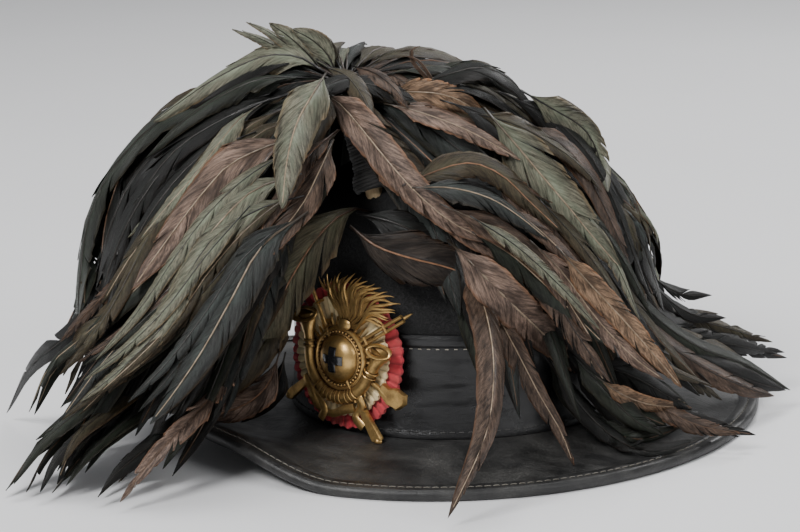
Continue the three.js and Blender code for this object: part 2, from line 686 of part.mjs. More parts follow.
// Keeps a point of a lock off the hat: it is pushed out of the wall or up off the brim and the dome,
// whichever is nearer.
function keepOff(v, clear) {
  const radius = ovalRadius(v);
  const dome = domeHeight(radius) + clear;
  const wall = wallRadius(v.z) + clear;
  const edge = EDGE_LEATHER + GAP + EDGE_LEATHER + clear;
  const lift = edgeLift(azimuthOf(v)) * liftShare((radius - BRIM_ROOT_RADIUS) / BRIM_WIDTH);
  const overBrim = radius < BRIM_RADIUS + EDGE_LEATHER + clear * 3;
  const floor = overBrim ? brimTop(radius) + edge + lift : TIP_CLEARANCE;
  v.z = Math.max(v.z, floor);
  if (radius < wall && v.z < dome) {
    if (dome - v.z < wall - radius) {
      v.z = dome;
    } else {
      const out = wall / Math.max(radius, 1);
      v.x *= out;
      v.y *= out;
    }
  }
}

// The dome's height over a radius, and the wall's radius at a height, band included.
function domeHeight(radius) {
  const rows = crownFace();
  for (let i = rows.length - 1; i > 0; i--) {
    if (radius <= rows[i - 1][0]) {
      const share = (radius - rows[i][0]) / (rows[i - 1][0] - rows[i][0]);
      return THREE.MathUtils.lerp(rows[i][1], rows[i - 1][1], share);
    }
  }
  return 0;
}

function wallRadius(height) {
  if (height < BAND_BOTTOM + BAND_HEIGHT + GAP) return bandRadius(height) + BAND_THICKNESS;
  const rows = crownFace();
  const next = rows.findIndex((row) => row[1] >= height);
  if (next < 1) return 0;
  const [a, b] = [rows[next - 1], rows[next]];
  return THREE.MathUtils.lerp(a[0], b[0], (height - a[1]) / (b[1] - a[1] || 1));
}

// The fall's line at any heading, between the two lines that it lies between.
function fallAt(heading) {
  const last = FALL.length - 1;
  const next = Math.min(Math.max(FALL.findIndex((row) => row.heading >= heading), 1), last);
  const [a, b] = [FALL[next - 1], FALL[next]];
  const share = THREE.MathUtils.clamp((heading - a.heading) / (b.heading - a.heading), 0, 1);
  return a.line.map(([out, height], i) => [
    THREE.MathUtils.lerp(out, b.line[i][0], share),
    THREE.MathUtils.lerp(height, b.line[i][1], share),
  ]);
}

// A lock along a line of shares, turned round the stem by its heading.
function lock({ heading, line, under = 0, crossed = 0, width, roll }, head) {
  const lowest = TIP_CLEARANCE + FEATHER_THICKNESS;
  const points = line.map(([out, height], i) => {
    const a = radians(heading + crossed * (0.5 - i / (line.length - 1)));
    const reach = out * PLUME_REACH * (1 - UNDER_IN * under);
    const z = Math.max(height * head.z - UNDER_DOWN * under, lowest);
    return new THREE.Vector3(head.x + reach * Math.cos(a), head.y + reach * Math.sin(a), z);
  });
  const a = radians(heading);
  const side = new THREE.Vector3(-Math.sin(a), Math.cos(a), 0);
  side.applyAxisAngle(new THREE.Vector3(Math.cos(a), Math.sin(a), 0), radians(roll));
  const size = (t) => ({
    wide: (FEATHER_WIDTH / 2) * width * featherOutline(t),
    thick: (FEATHER_THICKNESS / 2) * (1.1 - 0.5 * t),
  });
  return limbAcross(points, size, side);
}

// Every lock's shape: the layers, spaced evenly over the fall, and the loose ones.
function locks(head) {
  const first = FALL[0].heading;
  const round = FALL[FALL.length - 1].heading - first;
  const layered = LAYERS.flatMap(({ count, ...shape }) =>
    Array.from({ length: count }, (_, i) => {
      const heading = first + (round * (i + shape.under / 2)) / (count - 1 + shape.under);
      return lock({ heading, line: fallAt(heading), ...shape }, head);
    }),
  );
  return [...layered, ...LOOSE.map((row) => lock(row, head))];
}

// A flat blade along a bent path, its width along one direction, kept off the hat.
function limbAcross(points, sizeAt, side) {
  const curve = new THREE.CatmullRomCurve3(points, false, "centripetal");
  const rod = new THREE.CylinderGeometry(1, 1, 1, 4, LOCK_STEPS);
  return reshape(rod, (v) => {
    const t = THREE.MathUtils.clamp(0.5 - v.y, 0, 1);
    const { wide, thick } = sizeAt(t);
    const up = curve.getTangent(t).cross(side).normalize();
    const [x, z] = [v.x * wide, v.z * thick];
    v.copy(curve.getPoint(t)).addScaledVector(side, -x).addScaledVector(up, -z);
    keepOff(v, LOCK_CLEAR - z);
  });
}

// The wrapping's outer shape, grown by a clearance: a sleeve with a ball at its foot.
function wrapping(foot, head, grown) {
  const radius = STEM_RADIUS + GAP + WRAP_THICKNESS;
  const sleeve = rodBetween(foot, head, radius + grown, 0, grown - HEAD_HEIGHT * QUILLS_BELOW);
  const ball = new THREE.SphereGeometry(radius * LUMP + grown, 12, 8);
  return sleeve.add(solidOf(ball.translate(foot.x, foot.y, foot.z)));
}

// The bound quills round the top of the stem.
function quills(foot, head) {
  const bundle = new THREE.SphereGeometry(1, 14, 10).scale(HEAD_RADIUS, HEAD_HEIGHT / 2, HEAD_RADIUS);
  const along = head.clone().sub(foot).normalize();
  const turn = new THREE.Quaternion().setFromUnitVectors(new THREE.Vector3(0, 1, 0), along);
  return solidOf(bundle.applyQuaternion(turn).translate(head.x, head.y, head.z));
}

function plume() {
  const [foot, head] = stemEnds();
  const hatClear = hatFilled(GAP);
  const peg = rodBetween(foot, head, STEM_RADIUS, PEG_SHOWS, 0).subtract(hatClear);
  const bore = rodBetween(foot, head, STEM_RADIUS + GAP, PEG_SHOWS + 2, GAP);
  const below = rodBetween(foot, foot.clone().lerp(head, -0.5), STEM_RADIUS * 6, 0, 0);
  const wrap = wrapping(foot, head, 0).subtract(below).subtract(bore).subtract(hatClear);
  const clear = bore.add(wrapping(foot, head, GAP)).add(hatClear);
  const feathers = joined([quills(foot, head), ...locks(head).map(solidOf)]).subtract(clear);
  return [
    piece("plume_stem", geometryOf(peg), 0xb58a4e, 0.6),
    piece("stem_wrap", geometryOf(wrap), 0x141414, 0.9),
    piece("plume", geometryOf(mainBody(feathers)), 0x2b2a24, 0.6),
  ];
}

hat.add(crown(), brim(), brimEdge(), band(), cockade(), ...plume());

// The origin is under the middle of the whole part, on the surface that it rests on.
hat.updateMatrixWorld(true);
const extent = new THREE.Box3().setFromObject(hat, true);
const middle = extent.getCenter(new THREE.Vector3());
hat.position.set(-middle.x, -middle.y, -extent.min.z);

export default hat;
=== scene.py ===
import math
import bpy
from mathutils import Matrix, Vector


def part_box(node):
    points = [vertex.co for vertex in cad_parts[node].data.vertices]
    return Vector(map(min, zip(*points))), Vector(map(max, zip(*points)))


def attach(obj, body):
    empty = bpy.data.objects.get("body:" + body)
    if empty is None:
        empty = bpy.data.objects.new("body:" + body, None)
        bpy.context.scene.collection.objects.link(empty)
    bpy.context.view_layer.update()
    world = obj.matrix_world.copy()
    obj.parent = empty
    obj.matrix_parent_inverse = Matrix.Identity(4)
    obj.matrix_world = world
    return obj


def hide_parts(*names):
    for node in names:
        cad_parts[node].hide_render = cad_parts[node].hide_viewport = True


bl_info = {
    "name": "Plumed Hat",
    "version": (1, 0, 0),
    "blender": (4, 5, 0),
    "location": "View3D > Sidebar > Hat",
    "description": "Dresses the packed model of a rifleman's plumed hat",
    "category": "Add Mesh",
}

import bmesh
import bpy
import numpy as np
from bpy.props import FloatProperty, FloatVectorProperty, IntProperty, PointerProperty
from mathutils import Matrix, Vector

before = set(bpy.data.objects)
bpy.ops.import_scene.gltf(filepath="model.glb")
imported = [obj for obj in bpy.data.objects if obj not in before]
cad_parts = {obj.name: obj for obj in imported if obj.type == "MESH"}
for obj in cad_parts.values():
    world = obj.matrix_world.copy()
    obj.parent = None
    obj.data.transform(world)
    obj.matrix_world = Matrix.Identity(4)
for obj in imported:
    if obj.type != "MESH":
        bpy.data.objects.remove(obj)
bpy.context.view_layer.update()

# Lengths are in millimetres until a mesh is made.
MM = 0.001
GAP = 0.3


def node_box(node):
    """A node's lowest and highest corners in millimetres."""
    low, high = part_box(node)
    return np.array(low) / MM, np.array(high) / MM


# The hat's driving sizes, read from the frame where it shows them
BAND_LOW, BAND_HIGH = node_box("hat_band")
CROWN_LOW, CROWN_HIGH = node_box("crown")
HAT_CENTRE = (BAND_LOW + BAND_HIGH)[:2] / 2
OVAL = (CROWN_HIGH - CROWN_LOW)[1] / (CROWN_HIGH - CROWN_LOW)[0]
CROWN_TOP = CROWN_HIGH[2]
FOOT_RADIUS = (CROWN_HIGH - CROWN_LOW)[0] / 2
FOOT_FLARE = 2.0
FOOT_FLARE_HEIGHT = 16.0
CROWN_RADIUS = FOOT_RADIUS - FOOT_FLARE
BAND_BOTTOM = BAND_LOW[2]
BAND_TOP = BAND_HIGH[2]
BAND_THICKNESS = 1.5
ROOT_TOP = BAND_BOTTOM - GAP
CROWN_HEIGHT = CROWN_TOP - ROOT_TOP
FELT = 2.2
BRIM_ROOT = FOOT_RADIUS + GAP
BRIM_WIDTH = 55.0
BRIM_RADIUS = BRIM_ROOT + BRIM_WIDTH
BRIM_THICKNESS = 2.4
EDGE_LEATHER = 1.2
EDGE_LEG = 8.0
EDGE_BOTTOM = EDGE_LEATHER + GAP
EDGE_TOP = EDGE_BOTTOM + BRIM_THICKNESS
BRIM_RISE = ROOT_TOP - EDGE_TOP
SIDE_LIFT = 11.5

# Steps round the hat and the sewn lines
CROWN_STEPS = 160
CROWN_ROWS = 60
BRIM_ROWS = 44
BRIM_STEPS = 240
EDGE_STEPS = 260
BAND_STEPS = 300
EDGE_NOSE = 1.9
EDGE_GROOVE = 4.6
BAND_STITCH = 4.4
HEM_STITCH_DROP = 6.4
FOOT_STITCH_RISE = 3.2
GIRTH = 2 * np.pi * 1.09  # the oval's girth over its half width

# Cockade
COCKADE_AZIMUTH = 14.0
COCKADE_HEIGHT = 47.0
COCKADE_LEAN = 3.0
COCKADE_BEND = 240.0
COCKADE_OUT = 1.6
RUFFLE_RADIUS = 34.0
CREAM_RADIUS = 27.5
RUFFLE_HOLE = 12.0
RUFFLE_THICKNESS = 1.6
PLEAT_DEPTH = 0.55
PLEATS = 46
PLEAT_STEPS = 8
PLEAT_COLUMNS = 16
BADGE_BASE = RUFFLE_THICKNESS * 2 + PLEAT_DEPTH + 2.5 * GAP
BADGE_PLATE = 1.4
BADGE_SHIFT = 3.2

# How far each part of the badge stands over its plate
TOOLS_LEVEL = 0.4
UPPER_RIFLE_LEVEL = 0.8
FLAMES_LEVEL = 0.8
BOSS_LEVEL = 1.4
HORN_LEVEL = 1.6

# Stem and plume
PLUME_REACH = 222.0
PEG_RADIUS = 4.0
WRAP_LENGTH = 42.0
STEM_FOOT = np.array([HAT_CENTRE[0] - 18.5, HAT_CENTRE[1] - 72.0, 121.2])
STEM_TOP = np.array([HAT_CENTRE[0] - 35.4, HAT_CENTRE[1] - 64.8, 168.2])

# The photograph's camera, fitted to the brim, the band and the crown
IMAGE_WIDTH, IMAGE_HEIGHT = 800, 532
FOCAL_PIXELS = 2795.0
AXIS_PIXEL = (469.5, 405.1)
CAMERA_DISTANCE = 1400.0
CAMERA_ELEVATION = math.radians(15.3)
CAMERA_AZIMUTH = math.radians(23.0)


def camera_pose():
    """Where the camera stands, its right, up and forward directions, and the level way from it."""
    ce, se = math.cos(CAMERA_ELEVATION), math.sin(CAMERA_ELEVATION)
    away = np.array([-math.sin(CAMERA_AZIMUTH), math.cos(CAMERA_AZIMUTH), 0.0])
    right = np.array([math.cos(CAMERA_AZIMUTH), math.sin(CAMERA_AZIMUTH), 0.0])
    forward = away * ce - np.array([0, 0, se])
    up = np.cross(right, forward)
    place = np.array([*HAT_CENTRE, 0.0]) - forward * CAMERA_DISTANCE
    across = (IMAGE_WIDTH / 2 - AXIS_PIXEL[0]) / FOCAL_PIXELS
    above = (AXIS_PIXEL[1] - IMAGE_HEIGHT / 2) / FOCAL_PIXELS
    aim = forward + across * right + above * up
    aim /= np.linalg.norm(aim)
    level = right - aim * (right @ aim)
    level /= np.linalg.norm(level)
    return place, level, np.cross(level, aim), aim, away


CAMERA_PLACE, CAMERA_RIGHT, CAMERA_UP, CAMERA_AIM, AWAY = camera_pose()


# Shapes of the hat


def smooth(x, low, high):
    """Smoothstep: 0 below low, 1 above high, and 3t^2 - 2t^3 between."""
    t = np.clip((x - low) / (high - low), 0, 1)
    return t * t * (3 - 2 * t)


def oval_radius(p):
    """Distance from the hat's upright axis, with front to back shrunk to the width's scale."""
    return np.hypot(p[..., 0] - HAT_CENTRE[0], (p[..., 1] - HAT_CENTRE[1]) / OVAL)


def grown(p, scale):
    """Points moved from the hat's upright axis, or towards it, by a scale."""
    moved = p.copy()
    moved[..., :2] = HAT_CENTRE + (p[..., :2] - HAT_CENTRE) * scale[..., None]
    return moved


def azimuth_of(p):
    """Angle from the front towards the wearer's right, in degrees."""
    return np.degrees(np.arctan2(HAT_CENTRE[0] - p[..., 0], (HAT_CENTRE[1] - p[..., 1]) / OVAL))


def on_oval(radius, azimuth, height):
    """Points at a radius of the hat's oval, an angle from its front and a height."""
    a = np.radians(azimuth)
    x = HAT_CENTRE[0] - radius * np.sin(a)
    y = HAT_CENTRE[1] - radius * OVAL * np.cos(a)
    return np.stack(np.broadcast_arrays(x, y, height), axis=-1)


# The crown's profile and the brim's top: shares of the radius or width, and of the height
CROWN_SHAPE = np.array([
    (FOOT_RADIUS / CROWN_RADIUS, 0.0),
    (1 + 0.4 * FOOT_FLARE / CROWN_RADIUS, 0.4 * FOOT_FLARE_HEIGHT / CROWN_HEIGHT),
    (1.0, FOOT_FLARE_HEIGHT / CROWN_HEIGHT),
    (1.0, 0.55), (0.985, 0.66), (0.945, 0.78), (0.86, 0.88), (0.69, 0.955), (0.42, 0.99), (0.0, 1.0),
])  # fmt: skip
BRIM_SHAPE = np.array([
    (0.0, 1.0), (0.15, 0.97), (0.32, 0.8), (0.52, 0.48), (0.7, 0.16),
    (1 - EDGE_LEG / BRIM_WIDTH, 0.0), (1.0, 0.0),
])  # fmt: skip


def crown_radius(height):
    """The crown's radius at a height, read along its profile."""
    share = (height - ROOT_TOP) / CROWN_HEIGHT
    return CROWN_RADIUS * np.interp(share, CROWN_SHAPE[:, 1], CROWN_SHAPE[:, 0])


def dome_height(radius):
    """The crown's height over a radius, read back along its upper profile."""
    upper = CROWN_SHAPE[3:][::-1]
    return ROOT_TOP + CROWN_HEIGHT * np.interp(radius / CROWN_RADIUS, upper[:, 0], upper[:, 1])


def edge_lift(azimuth):
    """How far the brim's edge curls up: a smooth rise at the front right, and back down behind."""
    return SIDE_LIFT * smooth(azimuth, -2, 24) * (1 - smooth(azimuth, 85, 130))


def lift_share(across):
    """The square of the place across the brim, level under the bound edge."""
    return np.clip(across / (1 - EDGE_LEG / BRIM_WIDTH), 0, 1) ** 2


BRIM_DENTS = (
    # azimuth, share across, height, spread in degrees
    (2, 0.2, 1.6, 9),
    (-10, 0.26, -1.4, 9),
    (-24, 0.2, 1.3, 12),
    (22, 0.45, -1.2, 16),
    (-62, 0.4, -1.2, 18),
    (-118, 0.45, 1.2, 18),
    (152, 0.4, -1.2, 18),
)


def brim_move(p):
    """Lifts and dents points of the brim: each dent is a bell over the angle and the place across."""
    across = (oval_radius(p) - BRIM_ROOT) / BRIM_WIDTH
    azimuth = azimuth_of(p)
    rise = edge_lift(azimuth) * lift_share(across)
    shade = smooth(across, 0.02, 0.12) * (1 - smooth(across, 0.6, 0.82))
    for where, share, height, spread in BRIM_DENTS:
        turned = (azimuth - where + 540) % 360 - 180
        bell = np.exp(-((turned / spread) ** 2) - ((across - share) / 0.18) ** 2)
        rise = rise + height * shade * bell
    moved = p.copy()
    moved[..., 2] += rise
    return moved


def brim_top(radius):
    """The brim's top over a radius, before it is lifted or dented."""
    across = np.clip((radius - BRIM_ROOT) / BRIM_WIDTH, 0, 1)
    return EDGE_TOP + BRIM_RISE * np.interp(across, BRIM_SHAPE[:, 0], BRIM_SHAPE[:, 1])


def hat_floor(p):
    """How high the hat's brim stands under points, and the table's height beyond it."""
    radius = oval_radius(p)
    rim = EDGE_LEATHER + GAP
    lift = edge_lift(azimuth_of(p)) * lift_share((radius - BRIM_ROOT) / BRIM_WIDTH)
    return np.where(radius < BRIM_RADIUS + 4, brim_top(radius) + rim + lift, 0.0)


def keep_off(p, clear):
    """Moves points off the hat: up off the brim, and out of the crown's wall or up off its dome."""
    p = p.copy()
    p[..., 2] = np.maximum(p[..., 2], hat_floor(p) + clear)
    radius = np.maximum(oval_radius(p), 1.0)
    band = p[..., 2] < BAND_TOP + clear
    wall = crown_radius(p[..., 2])
    wall = np.where(band, wall + BAND_THICKNESS + GAP, wall) + clear
    dome = dome_height(radius) + clear
    inside = (radius < wall) & (p[..., 2] < dome)
    up = inside & (dome - p[..., 2] < wall - radius)
    out = inside & ~up
    p[..., 2] = np.where(up, dome, p[..., 2])
    return grown(p, np.where(out, wall / radius, 1.0))


# Mesh making


class Shape:
    """Gathers vertices and faces, with a texture place, two tones and a material slot, for one mesh."""

    def __init__(self):
        self.points, self.faces, self.slots = [], [], []
        self.uvs, self.tones = [], []
        self.count = 0

    def add(self, points, faces, slot=0, uv=None, tone=None):
        """Adds a patch. points is (n, 3) in millimetres and faces a list of (m, 3) or (m, 4) arrays."""
        n = len(points)
        self.points.append(points)
        self.uvs.append(np.zeros((n, 2)) if uv is None else uv)
        self.tones.append(np.zeros((n, 4)) if tone is None else tone)
        for block in faces:
            self.faces.append(block + self.count)
            self.slots.append(np.full(len(block), slot))
        self.count += n

    def moved(self, change):
        """Puts every gathered point through a function."""
        self.points = [change(points) for points in self.points]
        return self

    def piece(self, name, materials, sharp=180.0, closed=True):
        """Makes the object at the origin, smooth but for edges over an angle, its faces turned out."""
        mesh = bpy.data.meshes.new(name)
        points = np.concatenate(self.points) * MM
        mesh.vertices.add(len(points))
        mesh.vertices.foreach_set("co", points.ravel())
        corners = np.concatenate([block.ravel() for block in self.faces])
        sizes = np.concatenate([np.full(len(block), block.shape[1]) for block in self.faces])
        starts = np.concatenate([[0], np.cumsum(sizes)[:-1]])
        mesh.loops.add(len(corners))
        mesh.loops.foreach_set("vertex_index", corners.astype(np.int32))
        mesh.polygons.add(len(sizes))
        mesh.polygons.foreach_set("loop_start", starts.astype(np.int32))
        mesh.polygons.foreach_set("material_index", np.concatenate(self.slots).astype(np.int32))
        mesh.update(calc_edges=True)
        layer = mesh.uv_layers.new(name="Along")
        layer.data.foreach_set("uv", np.concatenate(self.uvs)[corners].ravel())
        tone = mesh.attributes.new("tone", "FLOAT_COLOR", "POINT")
        tone.data.foreach_set("color", np.concatenate(self.tones).ravel())
        mesh.validate()
        if closed:
            turned = bmesh.new()
            turned.from_mesh(mesh)
            bmesh.ops.recalc_face_normals(turned, faces=turned.faces)
            turned.to_mesh(mesh)
            turned.free()
        mesh.polygons.foreach_set("use_smooth", np.ones(len(mesh.polygons), dtype=bool))
        if sharp < 180:
            mesh.set_sharp_from_angle(angle=math.radians(sharp))
        obj = bpy.data.objects.new(name, mesh)
        bpy.context.scene.collection.objects.link(obj)
        for material in materials:
            mesh.materials.append(material)
        return obj


def grid_faces(rows, columns, close_rows=False, close_columns=False):
    """Quads over a grid of rows by columns of vertices. A closed side joins its last line to its first."""
    r = np.arange(rows if close_rows else rows - 1)
    c = np.arange(columns if close_columns else columns - 1)
    r, c = np.meshgrid(r, c, indexing="ij")
    r2, c2 = (r + 1) % rows, (c + 1) % columns
    quads = np.stack([r * columns + c, r2 * columns + c, r2 * columns + c2, r * columns + c2], axis=-1)
    return quads.reshape(-1, 4)


def fan(first, count, pole):
    """Triangles from a pole to a ring of count vertices that starts at first."""
    ring = first + np.arange(count)
    return np.stack([ring, np.roll(ring, -1), np.full(count, pole)], axis=-1)


def capped(rows, columns):
    """Faces of a tube of rows of vertices that two poles after them close."""
    count = rows * columns
    body = grid_faces(rows, columns, close_columns=True)
    return [body, fan(0, columns, count), fan(count - columns, columns, count + 1)]


def ring_shape(points, tone=None):
    """A shape of a grid of points that closes on itself both ways."""
    shape = Shape()
    shape.add(points.reshape(-1, 3), [grid_faces(*points.shape[:2], True, True)], tone=tone)
    return shape


def circle(count):
    """Even angles round a circle."""
    return np.linspace(0, 2 * np.pi, count, endpoint=False)


def unit(v):
    """Vectors divided by their length."""
    return v / np.maximum(np.linalg.norm(v, axis=-1, keepdims=True), 1e-9)


def curve_through(points, count):
    """A smooth line of count even steps through points: a Catmull-Rom spline, then spaced by length."""
    p = np.asarray(points, float)
    if len(p) == 2:
        return p[0] + (p[1] - p[0]) * np.linspace(0, 1, count)[:, None]
    ends = np.concatenate([[2 * p[0] - p[1]], p, [2 * p[-1] - p[-2]]])
    t = np.linspace(0, len(p) - 1 - 1e-6, count * 6)
    k = t.astype(int)
    f = (t - k)[:, None]
    a, b, c, d = ends[k], ends[k + 1], ends[k + 2], ends[k + 3]
    square, cube = 2 * a - 5 * b + 4 * c - d, 3 * b - a - 3 * c + d
    line = 0.5 * (2 * b + (c - a) * f + square * f**2 + cube * f**3)
    along = np.concatenate([[0], np.cumsum(np.linalg.norm(np.diff(line, axis=0), axis=1))])
    at = np.linspace(0, along[-1], count)
    return np.stack([np.interp(at, along, line[:, i]) for i in range(3)], axis=-1)


def add_tube(shape, path, wide, thick, up=(0, 0, 1), sides=8, closed=False, slot=0, tone=None):
    """Adds a rod: an ellipse, wide by thick, at each point of a path, with a pole at each end."""
    path = np.asarray(path, float)
    n = len(path)
    wide = np.broadcast_to(wide, n).astype(float)
    thick = np.broadcast_to(thick, n).astype(float)
    if closed:
        tangent = unit(np.roll(path, -1, axis=0) - np.roll(path, 1, axis=0))
    else:
        tangent = unit(np.gradient(path, axis=0))
    across = unit(np.cross(tangent, np.broadcast_to(up, tangent.shape)))
    lift = np.cross(across, tangent)
    a = circle(sides)
    ring = (
        path[:, None]
        + wide[:, None, None] * np.cos(a)[None, :, None] * across[:, None]
        + thick[:, None, None] * np.sin(a)[None, :, None] * lift[:, None]
    )
    points = ring.reshape(-1, 3)
    faces = [grid_faces(n, sides, True, True)] if closed else capped(n, sides)
    along = np.repeat(np.linspace(0, 1, n), sides)
    uv = np.stack([along, np.tile(a / (2 * np.pi), n)], axis=-1)
    if not closed:
        points = np.concatenate([points, path[:1], path[-1:]])
        uv = np.concatenate([uv, [[0, 0], [1, 0]]])
    shape.add(points, faces, slot, uv, tone)


def add_turned(shape, profile, centre, sides, stretch=(1, 1)):
    """Adds a body turned round the layout's out axis. The profile runs between its two poles."""
    profile = np.asarray(profile, float)
    rings = profile[1:-1]
    a = circle(sides)
    x = centre[0] + rings[:, :1] * np.cos(a) * stretch[0]
    y = centre[1] + rings[:, :1] * np.sin(a) * stretch[1]
    z = centre[2] + np.repeat(rings[:, 1:], sides, axis=1)
    points = np.stack([x, y, z], axis=-1).reshape(-1, 3)
    poles = [[centre[0], centre[1], centre[2] + profile[i, 1]] for i in (0, -1)]
    shape.add(np.concatenate([points, poles]), capped(len(rings), sides))


def add_slab(shape, outline, low, high, bevel):
    """Adds a plate of an outline: rings at its foot, shoulder and bevelled top, closed by two poles."""
    outline = np.asarray(outline, float)
    middle = outline.mean(axis=0)
    n = len(outline)
    apart = middle - outline
    inward = outline + apart / np.linalg.norm(apart, axis=1, keepdims=True) * bevel
    rings = [(outline, low), (outline, high - bevel), (inward, high)]
    points = np.concatenate([np.column_stack([ring, np.full(n, z)]) for ring, z in rings])
    poles = [[*middle, low], [*middle, high]]
    shape.add(np.concatenate([points, poles]), capped(3, n))


def waves(a, b, amplitude, seed, terms=9, spread=(6, 5)):
    """Gentle unevenness: a sum of sines over two parameters with seeded whole numbers and phases."""
    rng = np.random.default_rng(seed)
    total = np.zeros(np.broadcast(a, b).shape)
    for _ in range(terms):
        k = rng.integers(1, spread[0] + 1)
        m = rng.uniform(-spread[1], spread[1])
        total += np.sin(k * a + m * b + rng.uniform(0, 2 * np.pi)) / terms**0.5
    return total * amplitude


def oval_sheet(radius, height, steps, move=None, ripple=None):
    """A closed ring round the hat: a profile of radius and height at even angles from the front."""
    azimuth = np.linspace(0, 360, steps, endpoint=False)[:, None]
    points = on_oval(np.asarray(radius)[None, :], azimuth, np.asarray(height)[None, :])
    if ripple is not None:
        points = ripple(points, azimuth)
    if move is not None:
        points = move(points)
    return points


# Materials


def new_group(name, inputs, outputs):
    """An empty shader group with named sockets, given as name: (kind, value)."""
    group = bpy.data.node_groups.new(name, "ShaderNodeTree")
    for label, (kind, value) in inputs.items():
        socket = group.interface.new_socket(label, in_out="INPUT", socket_type=f"NodeSocket{kind}")
        socket.default_value = value
    for label, kind in outputs.items():
        group.interface.new_socket(label, in_out="OUTPUT", socket_type=f"NodeSocket{kind}")
    return group, group.nodes.new("NodeGroupInput"), group.nodes.new("NodeGroupOutput")


def node(tree, kind, links=None, **values):
    """Adds a node, sets its named values and joins its named or numbered inputs."""
    made = tree.nodes.new(kind)
    for key, value in values.items():
        setattr(made, key, value)
    for key, source in (links or {}).items():
        socket = made.inputs[key]
        if hasattr(source, "is_output"):
            tree.links.new(source, socket)
        else:
            socket.default_value = source
    return made


def mix_colour(tree, factor, a, b, blend="MIX"):
    """Mixes two colours and gives the result's socket."""
    made = node(tree, "ShaderNodeMix", data_type="RGBA", blend_type=blend)
    for key, source in ((0, factor), (6, a), (7, b)):
        if hasattr(source, "is_output"):
            tree.links.new(source, made.inputs[key])
        else:
            made.inputs[key].default_value = source
    return made.outputs[2]


def maths(tree, operation, a, b=0.0, c=0.0, clamp=False):
    """One sum on two or three values, giving its socket."""
    return node(tree, "ShaderNodeMath", {0: a, 1: b, 2: c}, operation=operation, use_clamp=clamp).outputs[0]


def ramp(tree, value, low, high, a=0.0, b=1.0):
    """Maps a value from one range onto another, clamped at both ends."""
    links = {"Value": value, "From Min": low, "From Max": high, "To Min": a, "To Max": b}
    return node(tree, "ShaderNodeMapRange", links).outputs["Result"]


def noise(tree, vector, scale, detail=3.0, rough=0.55, warp=0.0):
    """Noise of a scale over a vector, giving its value's socket."""
    links = {"Vector": vector, "Scale": scale, "Detail": detail, "Roughness": rough, "Distortion": warp}
    return node(tree, "ShaderNodeTexNoise", links).outputs["Fac"]


def colour(base, scale=1.0):
    """A colour times a number, with its alpha."""
    return (*(min(1.0, part * scale) for part in base), 1.0)


def tone_colour(tree):
    """The socket of the colour that a mesh keeps in its tone."""
    return node(tree, "ShaderNodeAttribute", attribute_name="tone").outputs["Color"]


def make_dust_group():
    """Dust and scuffs: patches of two sizes of noise, thickest where Extra is high."""
    inputs = {
        "Vector": ("Vector", (0, 0, 0)),
        "Patch Scale": ("Float", 30.0),
        "Amount": ("Float", 0.5),
        "Extra": ("Float", 0.0),
    }
    group, given, result = new_group("dust", inputs, {"Mask": "Float"})
    wide = noise(group, given.outputs["Vector"], given.outputs["Patch Scale"], 5, 0.62, 0.6)
    fine = noise(group, given.outputs["Vector"], 900.0, 3, 0.7)
    patches = ramp(group, wide, 0.42, 0.72)
    specks = ramp(group, fine, 0.5, 0.75, 0.35, 1.0)
    mask = maths(group, "MULTIPLY", patches, specks)
    amount, extra = given.outputs["Amount"], given.outputs["Extra"]
    mask = maths(group, "MULTIPLY_ADD", mask, amount, extra, clamp=True)
    group.links.new(mask, result.inputs["Mask"])
    return group


def make_grain_group():
    """Leather grain: the cells of a fine pebble, with long soft wrinkles over them, as a height."""
    inputs = {
        "Vector": ("Vector", (0, 0, 0)),
        "Pebble Scale": ("Float", 1400.0),
        "Wrinkle Scale": ("Float", 60.0),
        "Wrinkles": ("Float", 1.0),
    }
    group, given, result = new_group("leather grain", inputs, {"Height": "Float"})
    cells = node(
        group,
        "ShaderNodeTexVoronoi",
        {"Vector": given.outputs["Vector"], "Scale": given.outputs["Pebble Scale"]},
        feature="DISTANCE_TO_EDGE",
    ).outputs["Distance"]
    pebble = ramp(group, cells, 0.0, 0.25, 0.0, 0.25)
    crease = noise(group, given.outputs["Vector"], given.outputs["Wrinkle Scale"], 4, 0.6, 1.6)
    fold = maths(group, "ABSOLUTE", maths(group, "SUBTRACT", crease, 0.5))
    fold = maths(group, "MULTIPLY", ramp(group, fold, 0.0, 0.09), given.outputs["Wrinkles"])
    height = maths(group, "ADD", pebble, fold)
    group.links.new(height, result.inputs["Height"])
    return group


def make_weave_group():
    """A fine ribbed cloth: crossed threads from two sine waves on the two directions given."""
    inputs = {"Vector": ("Vector", (0, 0, 0)), "Threads": ("Float", 9000.0)}
    group, given, result = new_group("ribbon weave", inputs, {"Height": "Float"})
    parts = node(group, "ShaderNodeSeparateXYZ", {0: given.outputs["Vector"]}).outputs
    lines = []
    for part in (parts[0], parts[2]):
        turned = maths(group, "MULTIPLY", part, given.outputs["Threads"])
        lines.append(maths(group, "SINE", turned))
    height = maths(group, "MULTIPLY_ADD", lines[0], lines[1], 0.5)
    group.links.new(height, result.inputs["Height"])
    return group


GROUPS = {}
GROUP_MAKERS = {
    "dust": make_dust_group,
    "leather grain": make_grain_group,
    "ribbon weave": make_weave_group,
}


def use_group(tree, name, **values):
    """Places a shared group in a material with its own values."""
    if name not in GROUPS:
        GROUPS[name] = GROUP_MAKERS[name]()
    made = tree.nodes.new("ShaderNodeGroup")
    made.node_tree = GROUPS[name]
    for key, value in values.items():
        socket = made.inputs[key.replace("_", " ")]
        if hasattr(value, "is_output"):
            tree.links.new(value, socket)
        else:
            socket.default_value = value
    return made.outputs[0]


